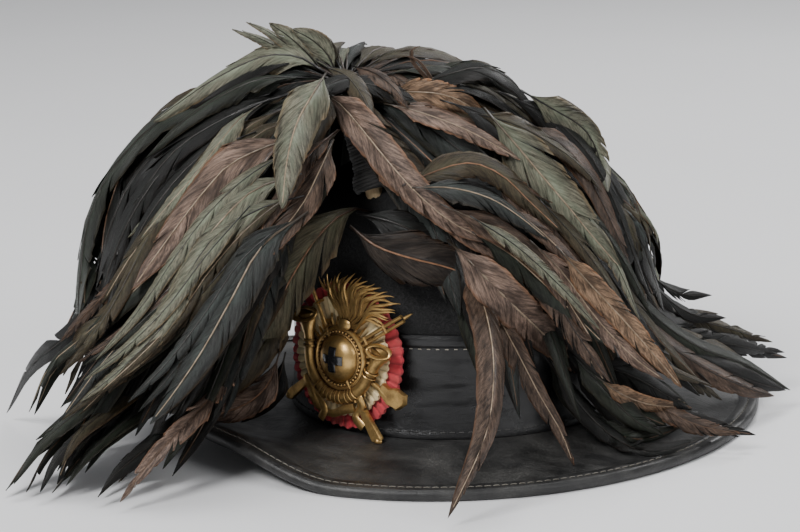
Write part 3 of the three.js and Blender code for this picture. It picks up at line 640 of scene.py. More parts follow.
def new_material(name, **shader):
    """A material with one Principled shader, its even values set on its own sockets."""
    material = bpy.data.materials.new(name)
    material.use_nodes = True
    tree = material.node_tree
    surface = tree.nodes["Principled BSDF"]
    for key, value in shader.items():
        surface.inputs[key.replace("_", " ")].default_value = value
    return material, tree, surface


def paint(tree, surface, shade, socket="Base Color"):
    """Joins a varying value to one of the shader's sockets."""
    tree.links.new(shade, surface.inputs[socket])


def object_place(tree):
    """The Object coordinates' socket."""
    return tree.nodes.new("ShaderNodeTexCoord").outputs["Object"]


def bump(tree, surface, height, strength, distance):
    """Feeds a height to the shader's normal. The distance is in millimetres."""
    links = {"Height": height, "Strength": strength, "Distance": distance * MM}
    made = node(tree, "ShaderNodeBump", links)
    tree.links.new(made.outputs["Normal"], surface.inputs["Normal"])


def leather(name, base, dust, rough, amount, wrinkles, patch=30.0, coat=0.0, wrinkle_scale=60.0):
    """Aged black leather: grain and wrinkles in relief, grey dust in patches, gloss where it is rubbed."""
    material, tree, surface = new_material(name, Coat_Weight=coat, Coat_Roughness=0.18)
    place = object_place(tree)
    mask = use_group(tree, "dust", Vector=place, Patch_Scale=patch, Amount=amount)
    rubbed = noise(tree, place, 45.0, 4, 0.6)
    shade = mix_colour(tree, ramp(tree, rubbed, 0.35, 0.7), colour(base, 0.6), colour(base))
    paint(tree, surface, mix_colour(tree, mask, shade, colour(dust)))
    gloss = ramp(tree, rubbed, 0.3, 0.7, rough * 0.7, rough * 1.25)
    gloss = maths(tree, "MULTIPLY_ADD", mask, 0.3, gloss, clamp=True)
    paint(tree, surface, gloss, "Roughness")
    grain = use_group(tree, "leather grain", Vector=place, Wrinkles=wrinkles, Wrinkle_Scale=wrinkle_scale)
    bump(tree, surface, grain, 0.45, 0.35)
    return material


def felt_material(base):
    """Black fur felt: matted fibres from stretched noise, lint specks and a soft sheen."""
    sheen = {"Sheen_Weight": 0.12, "Sheen_Roughness": 0.5}
    material, tree, surface = new_material("crown felt", Roughness=0.95, **sheen)
    surface.inputs["Sheen Tint"].default_value = (0.5, 0.5, 0.52, 1)
    surface.inputs["Specular IOR Level"].default_value = 0.2
    place = object_place(tree)
    fibre = noise(tree, place, 380.0, 6, 0.85, 2.5)
    patch = noise(tree, place, 60.0, 4, 0.6)
    lint = ramp(tree, noise(tree, place, 1500.0, 2, 0.5), 0.7, 0.78, 0.0, 0.5)
    shade = mix_colour(tree, patch, colour(base, 0.5), colour(base, 1.5))
    shade = mix_colour(tree, ramp(tree, fibre, 0.42, 0.66), shade, colour(base, 3.4))
    shade = mix_colour(tree, lint, shade, (0.16, 0.16, 0.16, 1))
    paint(tree, surface, shade)
    bump(tree, surface, maths(tree, "ADD", fibre, maths(tree, "MULTIPLY", patch, 0.6)), 0.9, 0.9)
    return material


def ribbon_material(name, base, stain):
    """Old pleated ribbon: a fine weave, faded patches, painted shade in its folds and brown stains."""
    material, tree, surface = new_material(name, Roughness=0.75, Sheen_Weight=0.25)
    place = object_place(tree)
    blot = ramp(tree, noise(tree, place, 90.0, 5, 0.6), 0.45, 0.75)
    fade = noise(tree, place, 400.0, 4, 0.6)
    painted_fold_shade = node(tree, "ShaderNodeSeparateColor", {0: tone_colour(tree)}).outputs[0]
    shade = mix_colour(tree, fade, colour(base, 0.72), colour(base, 1.2))
    shade = mix_colour(tree, maths(tree, "MULTIPLY", blot, 0.6), shade, colour(stain))
    # Painted shade: the colour darkens in the pleats' valleys, read from the tone attribute.
    shade = mix_colour(tree, maths(tree, "MULTIPLY", painted_fold_shade, 0.7), shade, colour(base, 0.22))
    paint(tree, surface, shade)
    weave = use_group(tree, "ribbon weave", Vector=place)
    bump(tree, surface, maths(tree, "ADD", weave, fade), 0.35, 0.12)
    return material


def brass_material(base, patina):
    """Cast gilt brass, rubbed bright on its high places and brown in its hollows and stains."""
    material, tree, surface = new_material("badge brass", Metallic=0.9)
    place = object_place(tree)
    hollow = node(tree, "ShaderNodeAmbientOcclusion", {"Distance": 2.2 * MM}).outputs["AO"]
    blot = noise(tree, place, 170.0, 5, 0.65)
    rubbed = ramp(tree, blot, 0.3, 0.6, 0.35, 1.0)
    worn = maths(tree, "MULTIPLY", ramp(tree, hollow, 0.42, 0.98), rubbed)
    shade = mix_colour(tree, worn, colour(patina), colour(base))
    paint(tree, surface, shade)
    paint(tree, surface, ramp(tree, worn, 0.0, 1.0, 0.62, 0.3), "Roughness")
    bump(tree, surface, noise(tree, place, 900.0, 4, 0.6), 0.35, 0.25)
    return material


def enamel_material():
    """Glossy black enamel with faint scratches."""
    material, tree, surface = new_material("black enamel", Coat_Weight=0.6, Coat_Roughness=0.05)
    place = object_place(tree)
    scratch = noise(tree, place, 700.0, 3, 0.6, 1.0)
    shade = mix_colour(tree, scratch, (0.004, 0.004, 0.005, 1), (0.02, 0.02, 0.022, 1))
    paint(tree, surface, shade)
    paint(tree, surface, ramp(tree, scratch, 0.3, 0.7, 0.08, 0.25), "Roughness")
    bump(tree, surface, scratch, 0.1, 0.1)
    return material


def wood_material():
    """Pale bare wood: rings drawn out along the grain."""
    material, tree, surface = new_material("stem wood", Roughness=0.7)
    place = object_place(tree)
    drawn = node(tree, "ShaderNodeMapping", {"Vector": place, "Scale": (6, 6, 1)}).outputs[0]
    grain = noise(tree, drawn, 120.0, 5, 0.65, 0.8)
    shade = mix_colour(tree, grain, (0.42, 0.26, 0.12, 1), (0.95, 0.74, 0.45, 1))
    paint(tree, surface, shade)
    bump(tree, surface, grain, 0.6, 0.4)
    return material


def thread_material(name, base, light):
    """Wound or sewn thread: twisted fibres, dusty and paler in places."""
    material, tree, surface = new_material(name, Roughness=0.85, Sheen_Weight=0.2)
    place = object_place(tree)
    twist = noise(tree, place, 1600.0, 3, 0.6, 1.2)
    paint(tree, surface, mix_colour(tree, twist, colour(base), colour(light)))
    bump(tree, surface, twist, 0.6, 0.2)
    return material


def feather_material(name, shimmers):
    """A feather's vane: silky barbs that run out and forward, in bands, with a painted highlight along its
    crease.

    The UV's first number counts along the barbs' roots and its second is the place across the vane. The
    tone attribute holds the feather's colour. Its edge is worn and warm. A dark vane gets a painted blue
    green highlight along its crease and a painted sheen where it turns away from the view.
    """
    material, tree, surface = new_material(name, Specular_IOR_Level=0.24)
    uv = node(tree, "ShaderNodeUVMap", uv_map="Along").outputs["UV"]
    parts = node(tree, "ShaderNodeSeparateXYZ", {0: uv}).outputs
    drawn = node(tree, "ShaderNodeMapping", {"Vector": uv, "Scale": (3.2, 0.2, 1)}).outputs[0]
    banded = node(tree, "ShaderNodeMapping", {"Vector": uv, "Scale": (1.0, 0.25, 1)}).outputs[0]
    barb = noise(tree, drawn, 14.0, 4, 0.75)
    band = noise(tree, banded, 7.0, 3, 0.6)
    line = maths(tree, "SINE", maths(tree, "MULTIPLY", parts[0], 620.0))
    across = maths(tree, "ABSOLUTE", parts[1])
    edge = ramp(tree, across, 0.8, 1.0)
    base = tone_colour(tree)
    dark = mix_colour(tree, 1.0, base, (0.22, 0.2, 0.19, 1), "MULTIPLY")
    light = mix_colour(tree, 1.0, base, (1.9, 1.85, 1.8, 1), "MULTIPLY")
    shade = mix_colour(tree, ramp(tree, barb, 0.36, 0.64), dark, light)
    shade = mix_colour(tree, ramp(tree, band, 0.45, 0.62, 0.0, 0.8), shade, dark)
    warm = mix_colour(tree, 1.0, base, (1.9, 1.3, 0.85, 1), "MULTIPLY")
    shade = mix_colour(tree, maths(tree, "MULTIPLY", edge, 0.6), shade, warm)
    # Painted highlight and sheen: a lighter blue green mixed into the colour along the crease and where the
    # vane turns away from the view.
    if shimmers:
        turned = node(tree, "ShaderNodeLayerWeight", {"Blend": 0.35}).outputs["Facing"]
        crease = ramp(tree, across, 0.1, 0.75, 1.0, 0.0)
        crease = maths(tree, "MULTIPLY", crease, ramp(tree, band, 0.38, 0.6))
        painted_highlight = maths(tree, "MULTIPLY", ramp(tree, turned, 0.3, 0.9), 0.5)
        painted_highlight = maths(tree, "MULTIPLY_ADD", crease, 0.6, painted_highlight, clamp=True)
        strength = ramp(tree, barb, 0.25, 0.7, 0.2, 1.0)
        # The painted highlight's colour: the base lightened towards blue green.
        green = mix_colour(tree, 1.0, base, (3.3, 3.8, 3.6, 1), "MULTIPLY")
        green = mix_colour(tree, 1.0, green, (0.01, 0.0125, 0.0115, 1), "ADD")
        shade = mix_colour(tree, maths(tree, "MULTIPLY", painted_highlight, strength), shade, green)
    paint(tree, surface, shade)
    paint(tree, surface, ramp(tree, barb, 0.25, 0.75, 0.28, 0.46), "Roughness")
    bump(tree, surface, maths(tree, "MULTIPLY_ADD", line, 0.2, barb), 0.9, 0.4)
    return material


def shaft_material():
    """A feather's shaft: smooth horn, coloured by its tone, darker in long streaks."""
    material, tree, surface = new_material("feather shaft")
    place = object_place(tree)
    tone = tone_colour(tree)
    streak = noise(tree, place, 300.0, 3, 0.6)
    dark = mix_colour(tree, 1.0, tone, (0.5, 0.45, 0.4, 1), "MULTIPLY")
    shade = mix_colour(tree, ramp(tree, streak, 0.35, 0.7), tone, dark)
    paint(tree, surface, shade)
    paint(tree, surface, ramp(tree, streak, 0.3, 0.7, 0.3, 0.5), "Roughness")
    bump(tree, surface, streak, 0.2, 0.1)
    return material


def dress(obj, node_names):
    """Rides a piece on the hat and lets it stand for CAD nodes."""
    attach(obj, "root")
    if node_names:
        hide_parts(*node_names)
    return obj


# Crown, brim and band


def build_crown(look):
    """The felt crown: its outer profile rounded, gone round the oval, then back down inside it."""
    sizes = CROWN_SHAPE * (CROWN_RADIUS, CROWN_HEIGHT) + (0, ROOT_TOP)
    line = curve_through(np.column_stack([sizes, np.zeros(len(sizes))]), CROWN_ROWS)
    radius, height = line[:-1, 0], line[:-1, 1]
    radius = np.concatenate([[FOOT_RADIUS], radius])
    height = np.concatenate([[CROWN_LOW[2]], height])
    slope = unit(np.stack([np.gradient(height), -np.gradient(radius)], axis=-1))
    inner_radius = np.maximum(radius - FELT * slope[:, 0], 0.3)
    inner_height = height - FELT * slope[:, 1]
    shape = Shape()
    steps = CROWN_STEPS

    def uneven(p, azimuth):
        """Soft swells of the worn felt, none at its foot."""
        swell = waves(np.radians(azimuth), p[..., 2] / 25, 0.5, 11)
        swell = swell * smooth(p[..., 2], BAND_TOP, BAND_TOP + 25)
        moved = grown(p, 1 + swell / 90)
        moved[..., 2] += np.minimum(swell * smooth(p[..., 2], 100, 125), 0.4)
        return moved

    outer = oval_sheet(radius, height, steps, ripple=uneven)
    inner = oval_sheet(inner_radius, inner_height, steps, ripple=uneven)
    loop = np.concatenate([outer, inner[:, ::-1]], axis=1)
    columns = loop.shape[1]
    tops = outer.shape[1]
    poles = np.array([[*HAT_CENTRE, CROWN_TOP], [*HAT_CENTRE, CROWN_TOP - FELT]])
    ring = np.arange(steps) * columns
    body = grid_faces(steps, columns, True, True).reshape(steps, columns, 4)
    body = np.delete(body, tops - 1, axis=1).reshape(-1, 4)
    count = steps * columns
    top = np.stack([ring + tops - 1, np.roll(ring, -1) + tops - 1, np.full(steps, count)], axis=-1)
    under = np.stack([ring + tops, np.roll(ring, -1) + tops, np.full(steps, count + 1)], axis=-1)
    shape.add(np.concatenate([loop.reshape(-1, 3), poles]), [body, top, under])
    return dress(shape.piece("felt_crown", [felt_material(look.felt)]), ["crown"])


def brim_ripple(p, azimuth):
    """Small waves and creases of dried leather, strongest near the crown and none at the edge."""
    across = (oval_radius(p) - BRIM_ROOT) / BRIM_WIDTH
    shade = smooth(across, 0.0, 0.1) * (1 - smooth(across, 0.62, 0.84))
    a = np.radians(azimuth)
    rise = waves(a, across * 3, 0.28, 5, 12, (14, 4)) + waves(a, across * 9, 0.16, 6, 12, (34, 3))
    moved = p.copy()
    moved[..., 2] += rise * shade
    return moved


def build_brim(look):
    """The brim: its top profile out from the crown, round its edge and back under."""
    sizes = BRIM_SHAPE * (BRIM_WIDTH, BRIM_RISE)
    line = curve_through(np.column_stack([sizes, np.zeros(len(sizes))]), BRIM_ROWS)
    radius = BRIM_ROOT + np.clip(line[:, 0], 0, BRIM_WIDTH)
    top = EDGE_TOP + np.clip(line[:, 1], 0, BRIM_RISE)
    loop_radius = np.concatenate([radius, radius[::-1]])
    loop_height = np.concatenate([top, top[::-1] - BRIM_THICKNESS])
    points = oval_sheet(loop_radius, loop_height, BRIM_STEPS, move=brim_move, ripple=brim_ripple)
    material = leather("brim leather", look.brim, look.dust, 0.5, 0.8, 0.8, patch=26.0)
    return dress(ring_shape(points).piece("leather_brim", [material], sharp=50), ["brim"])


def edge_profile():
    """The rolled edge in section: a rounded fold over the brim, closed inside along its lining."""
    inner = BRIM_RADIUS - EDGE_LEG
    reach = BRIM_RADIUS + GAP
    top = EDGE_TOP + GAP + EDGE_LEATHER
    half = top / 2
    a = np.linspace(-np.pi / 2, np.pi / 2, 11)
    nose = reach + EDGE_LEATHER - EDGE_NOSE
    outer = np.column_stack([nose + EDGE_NOSE * np.cos(a), half + half * np.sin(a)])
    in_bottom = [[inner + 0.5, 0.0], [inner + 4, 0.0]]
    groove = inner + EDGE_GROOVE
    in_top = [[groove + 0.8, top], [groove, top - 0.3], [groove - 0.8, top], [inner + 0.9, top]]
    roof, floor = top - EDGE_LEATHER, EDGE_LEATHER
    hem = [[inner, top - 0.5], [inner, roof], [reach, roof], [reach, floor], [inner, floor], [inner, 0.5]]
    return np.concatenate([in_bottom, outer, in_top, hem])


def build_edge(look):
    """The rolled leather edge with its stitched groove."""
    profile = edge_profile()
    points = oval_sheet(profile[:, 0], profile[:, 1], EDGE_STEPS, move=brim_move)
    material = leather("edge leather", look.brim, look.dust, 0.42, 0.5, 0.35, patch=60.0)
    return dress(ring_shape(points).piece("rolled_edge", [material], sharp=60), ["brim_edge"])


def stitch_row(shape, azimuths, radius, height, length, thick, move=None, upright=False):
    """Short stitches along the oval: each is a small rod, bowed a little up off the leather."""
    mid = on_oval(radius, azimuths, height)
    step = on_oval(radius, azimuths + 0.3, height) - mid
    along = unit(step)
    out = np.array([0, 0, 1.0])
    for centre, direction in zip(mid, along):
        s = np.linspace(-0.5, 0.5, 5)[:, None]
        facing = unit(np.cross(direction, out)) if upright else out
        path = centre + direction * s * length + facing * (0.25 - s**2) * thick * 1.6
        if move is not None:
            path = move(path)
        add_tube(shape, path, thick / 2, thick / 2.4, up=facing, sides=5)


def build_stitches(look):
    """The sewn line of the brim's edge, dusty and pale where the thread is rubbed."""
    shape = Shape()
    count = int(GIRTH * BRIM_RADIUS / look.stitch_length)
    azimuths = np.arange(count) * 360 / count
    height = EDGE_TOP + GAP + EDGE_LEATHER - 0.15
    radius = BRIM_RADIUS - EDGE_LEG + EDGE_GROOVE
    stitch_row(shape, azimuths, radius, height, look.stitch_length * 0.72, 0.55, brim_move)
    material = thread_material("edge thread", (0.02, 0.02, 0.02), (0.3, 0.27, 0.22))
    return dress(shape.piece("edge_stitches", [material]), [])


def build_band(look):
    """The leather band: upright, wrinkled along its length, with a folded upper hem."""
    upper = [0.875, 0.885, 0.895, 0.91, 0.94, 0.97, 0.99, 1.0]
    heights = np.concatenate([np.linspace(0, 0.86, 34), upper])
    z = BAND_BOTTOM + heights * (BAND_TOP - BAND_BOTTOM)
    outer = crown_radius(z) + GAP + BAND_THICKNESS
    hem = np.where(heights > 0.89, 0.0, -0.35)
    rounded = -0.5 * (heights >= 0.99) - 0.3 * (heights <= 0.0)

    def wrinkle(p, azimuth):
        """Long shallow creases that sink into the band and never stand out of it."""
        a = np.radians(azimuth)
        t = (p[..., 2] - BAND_BOTTOM) / (BAND_TOP - BAND_BOTTOM)
        depth = waves(a, t * 7, 0.15, 21, 14, (11, 6)) + waves(a, t * 16, 0.06, 22, 14, (30, 8))
        depth = np.minimum(depth - 0.12, 0.1) * smooth(t, 0, 0.08) * (1 - smooth(t, 0.86, 0.9))
        return grown(p, 1 + depth / CROWN_RADIUS)

    face = oval_sheet(outer + hem + rounded, z, BAND_STEPS, ripple=wrinkle)
    back = oval_sheet((outer - BAND_THICKNESS)[::-1], z[::-1], BAND_STEPS)
    shape = ring_shape(np.concatenate([face, back], axis=1))
    looks = {"patch": 40.0, "coat": 0.25, "wrinkle_scale": 45.0}
    material = leather("band leather", look.band, look.dust, 0.34, 0.05, 0.4, **looks)
    return dress(shape.piece("leather_band", [material], sharp=55), ["hat_band"])


def build_band_stitches():
    """Pale stitches under the band's hem and short dark ones along its foot."""
    radius = CROWN_RADIUS + GAP + BAND_THICKNESS
    upper = Shape()
    count = int(GIRTH * CROWN_RADIUS / BAND_STITCH)
    azimuths = np.arange(count) * 360 / count
    stitch_row(upper, azimuths, radius - 0.1, BAND_TOP - HEM_STITCH_DROP, 1.5, 0.5, upright=True)
    pale = thread_material("pale thread", (0.16, 0.14, 0.11), (0.62, 0.56, 0.46))
    dress(upper.piece("band_hem_stitches", [pale]), [])
    lower = Shape()
    foot = BAND_BOTTOM + FOOT_STITCH_RISE
    foot_radius = crown_radius(foot) + GAP + BAND_THICKNESS - 0.1
    stitch_row(lower, azimuths + 1.1, foot_radius, foot, 2.2, 0.6, upright=True)
    dark = thread_material("dark thread", (0.01, 0.01, 0.01), (0.09, 0.085, 0.08))
    return dress(lower.piece("band_foot_stitches", [dark]), [])


# Cockade and badge, laid out flat: X to the viewer's right, Y up, Z out of the hat


def seat(points):
    """Puts the flat layout on the hat: bent round the crown, leaned back, turned and moved to its place."""
    p = points.copy()
    p[..., 2] -= p[..., 0] ** 2 / (2 * COCKADE_BEND)
    lean = math.radians(COCKADE_LEAN)
    y, z = p[..., 1].copy(), p[..., 2].copy()
    p[..., 1] = y * math.cos(lean) + z * math.sin(lean)
    p[..., 2] = -y * math.sin(lean) + z * math.cos(lean)
    a = math.radians(COCKADE_AZIMUTH)
    normal = unit(np.array([-math.sin(a) * OVAL, -math.cos(a), 0.0]))
    upward = np.array([0, 0, 1.0])
    right = np.cross(upward, normal)
    radius = CROWN_RADIUS + GAP + BAND_THICKNESS
    centre = on_oval(radius, COCKADE_AZIMUTH, COCKADE_HEIGHT) + normal * (RUFFLE_THICKNESS / 2 + COCKADE_OUT)
    return centre + p[..., :1] * right + p[..., 1:2] * upward + p[..., 2:3] * normal


def ruffle(name, radius, bottom, thick, material, node_name, seed):
    """A pleated ring: knife pleats as a sawtooth over the angle that deepens to its scalloped rim."""
    angle = circle(PLEATS * PLEAT_STEPS)[:, None]
    share = np.linspace(0, 1, PLEAT_COLUMNS)[None, :]
    rng = np.random.default_rng(seed)
    shift = rng.uniform(-0.12, 0.12, PLEATS).repeat(PLEAT_STEPS)[:, None]
    turn = angle * PLEATS / (2 * np.pi)
    fold = (turn + shift * share) % 1.0
    saw = np.where(fold < 0.82, fold / 0.82, (1 - fold) / 0.18)
    uneven = rng.normal(0, 0.2, PLEATS).repeat(PLEAT_STEPS)[:, None]
    rim = radius - 0.9 + 0.9 * np.sin(np.pi * np.clip(fold / 0.86, 0, 1)) + uneven
    r = RUFFLE_HOLE + (rim - RUFFLE_HOLE) * share
    lift = PLEAT_DEPTH * 2 * (saw - 0.5) * (0.45 + 0.55 * share)
    lift += 0.3 * np.sin(angle * 5 + seed) * share**2
    x, y = r * np.cos(angle), r * np.sin(angle)
    front = np.stack([x, y, bottom + thick - 0.1 + lift * 0.9], axis=-1)
    back = np.stack([x, y, np.full(r.shape, bottom)], axis=-1)
    points = np.concatenate([front, back[:, ::-1]], axis=1)
    # Painted shade in the pleats' valleys, kept in the tone's first channel for the ribbon material.
    painted_fold_shade = np.clip(1 - saw * 2.2, 0, 1) ** 1.2
    tone = np.zeros((*points.shape[:2], 4))
    tone[..., 0] = np.concatenate([painted_fold_shade, painted_fold_shade[:, ::-1]], axis=1)
    shape = ring_shape(points, tone.reshape(-1, 4)).moved(seat)
    return dress(shape.piece(name, [material], sharp=60), [node_name])


def build_cockade(look):
    """The red ruffle with the cream one on it."""
    red = ribbon_material("red ribbon", look.red, (0.2, 0.08, 0.05))
    cream = ribbon_material("cream ribbon", look.cream, (0.34, 0.24, 0.12))
    outer, inner = RUFFLE_RADIUS + 0.4, CREAM_RADIUS + 1.2
    ruffle("red_ruffle", outer, 0.0, RUFFLE_THICKNESS, red, "cockade_rim", 3)
    bottom = RUFFLE_THICKNESS + PLEAT_DEPTH + 1.5 * GAP
    thick = RUFFLE_THICKNESS - PLEAT_DEPTH
    return ruffle("cream_ruffle", inner, bottom, thick, cream, "cockade_centre", 4)


# The flame's strands: the middle and the tip of each from the boss's middle
FLAMES = (
    ((-4.5, 29.0), (-14.5, 36.5)), ((-6.0, 31.0), (-9.5, 38.5)), ((-4.0, 30.0), (-4.5, 38.5)),
    ((-2.0, 33.0), (-1.0, 40.5)), ((0.5, 31.0), (3.5, 39.8)), ((3.0, 34.0), (7.5, 41.2)),
    ((5.0, 30.5), (11.5, 40.0)), ((8.0, 33.5), (15.0, 38.5)), ((9.5, 29.5), (19.0, 37.8)),
    ((13.0, 32.5), (23.0, 36.4)), ((14.5, 28.5), (26.5, 35.0)), ((18.0, 30.5), (30.0, 33.0)),
    ((19.0, 26.5), (33.6, 30.2)), ((17.5, 23.5), (31.0, 25.8)), ((15.5, 21.5), (27.5, 21.8)),
    ((14.0, 19.5), (26.0, 18.0)), ((-3.5, 25.5), (-9.5, 31.0)),
)  # fmt: skip
HORN_LINE = (
    (-22.1, 17.6), (-20.6, 12.0), (-19.3, 5.5), (-19.1, -1.0), (-17.5, -7.5), (-13.3, -13.2),
    (-7.1, -17.2), (0.1, -18.4), (7.5, -16.6), (13.1, -12.4), (17.2, -6.6), (20.6, -0.4), (24.0, 6.2),
)  # fmt: skip
BELLS = (
    # x, y, half width, half height, turn in degrees
    (-22.1, 17.9, 7.8, 2.9, 8),
    (24.3, 6.9, 6.6, 2.6, -6),
)


BOSS_DOME = (
    # radius, height
    (0, -2.0), (11.2, -2.0), (11.4, 0.2), (11.0, 1.4), (9.6, 3.2), (7.4, 4.6), (4.6, 5.5), (0, 5.9),
)  # fmt: skip
BOSS_RIM = (
    # radius, height
    (0, -2.2), (15.2, -2.2), (15.6, -0.4), (15.0, 0.7), (14.0, 1.0), (13.0, 0.4),
    (12.6, -0.4), (12.0, 0.5), (11.4, 0.8), (10.8, 0.1), (0, 0),
)  # fmt: skip
HORN_STEPS = 70
BEADS = 40
BEAD_RING = 12.75
RAYS = 36
RAY_ROOT = 15.0


def add_flames(shape, level):
    """Wavy strands from the neck, at each row and between rows, that bow through a middle to a tip."""
    rng = np.random.default_rng(8)
    rows = np.array(FLAMES, float)
    between = (rows[:-2] + rows[1:-1]) / 2 * ((1, 1), (0.95, 0.96))
    rows = np.concatenate([rows, between])
    t = np.linspace(0, 1, 30)
    for middle, tip in rows:
        start = np.array([3.0 + 0.12 * (tip[0] - 9), 15.5, level])
        mid = np.array([*middle, level + rng.uniform(0.8, 2.0)])
        end = np.array([*tip, level + rng.uniform(0.1, 0.7)])
        side = unit(np.array([-(end - mid)[1], (end - mid)[0], 0]))
        before, after = (start + mid) / 2 - side * 1.4, (mid + end) / 2 + side * 1.2
        path = curve_through([start, before, mid, after, end], 30)
        wave = np.sin(2 * np.pi * (rng.uniform(1.3, 2.1) * t + rng.random()))
        path = path + side * 0.7 * (wave * np.sin(np.pi * t) ** 0.5)[:, None]
        radius = (0.5 + 0.45 * np.sin(np.pi * t) ** 0.7) * np.clip((1.02 - t) * 5, 0.15, 1)
        add_tube(shape, path, radius, radius * 0.95, sides=6)


def add_collar(shape, line, share, lean, radius, squash, thick, sides, steps):
    """A ring round the horn at a share of its line, its way leaned up and its height squashed."""
    at = int(share * (HORN_STEPS - 1))
    way = unit(line[at + 1] - line[at] + np.array([0, 0, lean]))
    a = circle(steps)[:, None]
    across = unit(np.cross(way, (0, 0, 1.0)))
    ring = line[at] + (np.cos(a) * across + np.sin(a) * np.array([0, 0, squash])) * radius
    add_tube(shape, ring, thick, thick, up=way, sides=sides, closed=True)


def add_horn(shape, level):
    """The horn: its bore carried along its line and widened to a flared bell at each end."""
    line = curve_through([(x, y, level) for x, y in HORN_LINE], HORN_STEPS)
    t = np.linspace(0, 1, HORN_STEPS)
    bell = np.clip(1 - t / 0.13, 0, 1) ** 1.6 * 4.6 + np.clip((t - 0.9) / 0.1, 0, 1) ** 1.6 * 3.4
    bore = 2.5 + 0.6 * np.sin(np.pi * t) + bell
    thick = np.minimum(bore, 2.6) * 0.95
    add_tube(shape, line, bore, thick, sides=14)
    cup = (
        # share of the bell's half width, height
        (0, -1.6), (0.55, -1.2), (0.9, 0.1), (1.0, 1.9), (1.06, 2.3), (0.98, 2.4), (0.85, 1.6),
        (0.6, 0.7), (0, 0.4),
    )  # fmt: skip
    for x, y, wide, high, turn in BELLS:
        a = circle(36)
        mouth = turned_outline(np.column_stack([wide * np.cos(a), high * np.sin(a)]), (x, y), turn)
        ring = np.column_stack([mouth, np.full(len(mouth), level + 2.2)])
        add_tube(shape, ring, 0.75, 0.75, sides=7, closed=True)
        profile = [(share * wide, z) for share, z in cup]
        add_turned(shape, profile, (x, y, level), 28, stretch=(1, high / wide))
        for k in (-2, -1):
            shape.points[k][:, 2] -= 0.6 * (shape.points[k][:, 1] - y)
    for share in (0.155, 0.18, 0.87, 0.845):
        add_collar(shape, line, share, 0, 3.2, 0.95, 0.45, sides=6, steps=20)
    for share in np.linspace(0.42, 0.7, 10):
        add_collar(shape, line, share, 0.25, 3.1, 0.92, 0.4, sides=5, steps=18)


def add_boss(shape, level):
    """The boss: a dome in a moulded rim, a row of beads and short rays round it."""
    centre = np.array([0.0, 0.0, level])
    add_turned(shape, BOSS_DOME, centre, 40)
    add_turned(shape, BOSS_RIM, centre, 48)
    ball = [(0, -0.8), (0.55, -0.55), (0.8, 0), (0.55, 0.55), (0, 0.8)]
    for a in circle(BEADS):
        add_turned(shape, ball, (BEAD_RING * math.cos(a), BEAD_RING * math.sin(a), level + 0.5), 7)
    for i, a in enumerate(circle(RAYS)):
        way = np.array([math.cos(a), math.sin(a), 0])
        length = 6.5 if i % 2 else 4.5
        places = ((RAY_ROOT - 0.4, 1.0), (RAY_ROOT + length / 2, 1.1), (RAY_ROOT + length, 1.7))
        path = [centre + way * out - [0, 0, drop] for out, drop in places]
        add_tube(shape, curve_through(path, 5), (0.9, 0.95, 0.8, 0.5, 0.15), 0.7, sides=5)


def turned_outline(outline, middle, angle):
    """An outline turned by an angle and moved to its middle."""
    c, s = math.cos(math.radians(angle)), math.sin(math.radians(angle))
    p = np.asarray(outline, float)
    return np.column_stack([p[:, 0] * c - p[:, 1] * s + middle[0], p[:, 0] * s + p[:, 1] * c + middle[1]])


def add_rifle(shape, butt_end, muzzle, level, double):
    """A rifle between its two ends: butt, lock, guard, stock, barrel with rings and ramrod."""
    butt_end, muzzle = np.array(butt_end, float), np.array(muzzle, float)
    length = np.linalg.norm(muzzle - butt_end)
    angle = math.degrees(math.atan2(*(muzzle - butt_end)[::-1]))
    middle = (butt_end + muzzle) / 2
    half = length / 2

    def line(points, z):
        """Points of the rifle's own outline, turned to their place at a height."""
        flat = turned_outline(points, middle, angle)
        return np.column_stack([flat, np.full(len(flat), z)])

    butt = [
        (-half, -3.1), (-half + 1, -3.6), (-half * 0.62, -1.5), (-half * 0.55, 1.4),
        (-half * 0.7, 1.9), (-half + 0.6, 1.5), (-half - 0.3, 0),
    ]  # fmt: skip
    add_slab(shape, turned_outline(butt, middle, angle), level - 1.2, level + 1.3, 0.6)
    stock = [(-half * 0.6, -1.6), (half * 0.5, -1.1), (half * 0.52, 1.0), (-half * 0.6, 1.4)]
    add_slab(shape, turned_outline(stock, middle, angle), level - 1.2, level + 0.9, 0.5)
    barrel = line([(-half * 0.5, 1.3), (half * 0.98, 1.3)], level + 0.9)
    add_tube(shape, curve_through(barrel, 8), 0.95, 0.95, sides=8)
    if double:
        second = line([(-half * 0.3, -1.0), (half * 0.98, -1.0)], level + 0.6)
        add_tube(shape, curve_through(second, 8), 0.85, 0.85, sides=8)
    loop = ((0.5, -1.4), (0.46, -4.4), (0.3, -5.0), (0.18, -3.6), (0.14, -1.2))
    guard = line([(-half * back, y) for back, y in loop], level)
    add_tube(shape, curve_through(guard, 14), 0.6, 0.6, sides=6)
    hammer = line([(-half * 0.34, 1.2), (-half * 0.4, 3.6), (-half * 0.3, 4.6)], level + 0.4)
    add_tube(shape, curve_through(hammer, 7), np.linspace(1.0, 0.5, 7), 0.8, sides=6)
    for share in (0.12, 0.42, 0.72):
        spot = line([(half * share, 2.2), (half * share, -1.8)], level + 0.6)
        add_tube(shape, curve_through(spot, 5), 0.7, 1.6, sides=8)
    knob = line([(-half, -1.0)], level)[0]
    add_turned(shape, [(0, -1.9), (1.4, -1.3), (2.0, 0), (1.4, 1.3), (0, 1.9)], knob, 12)


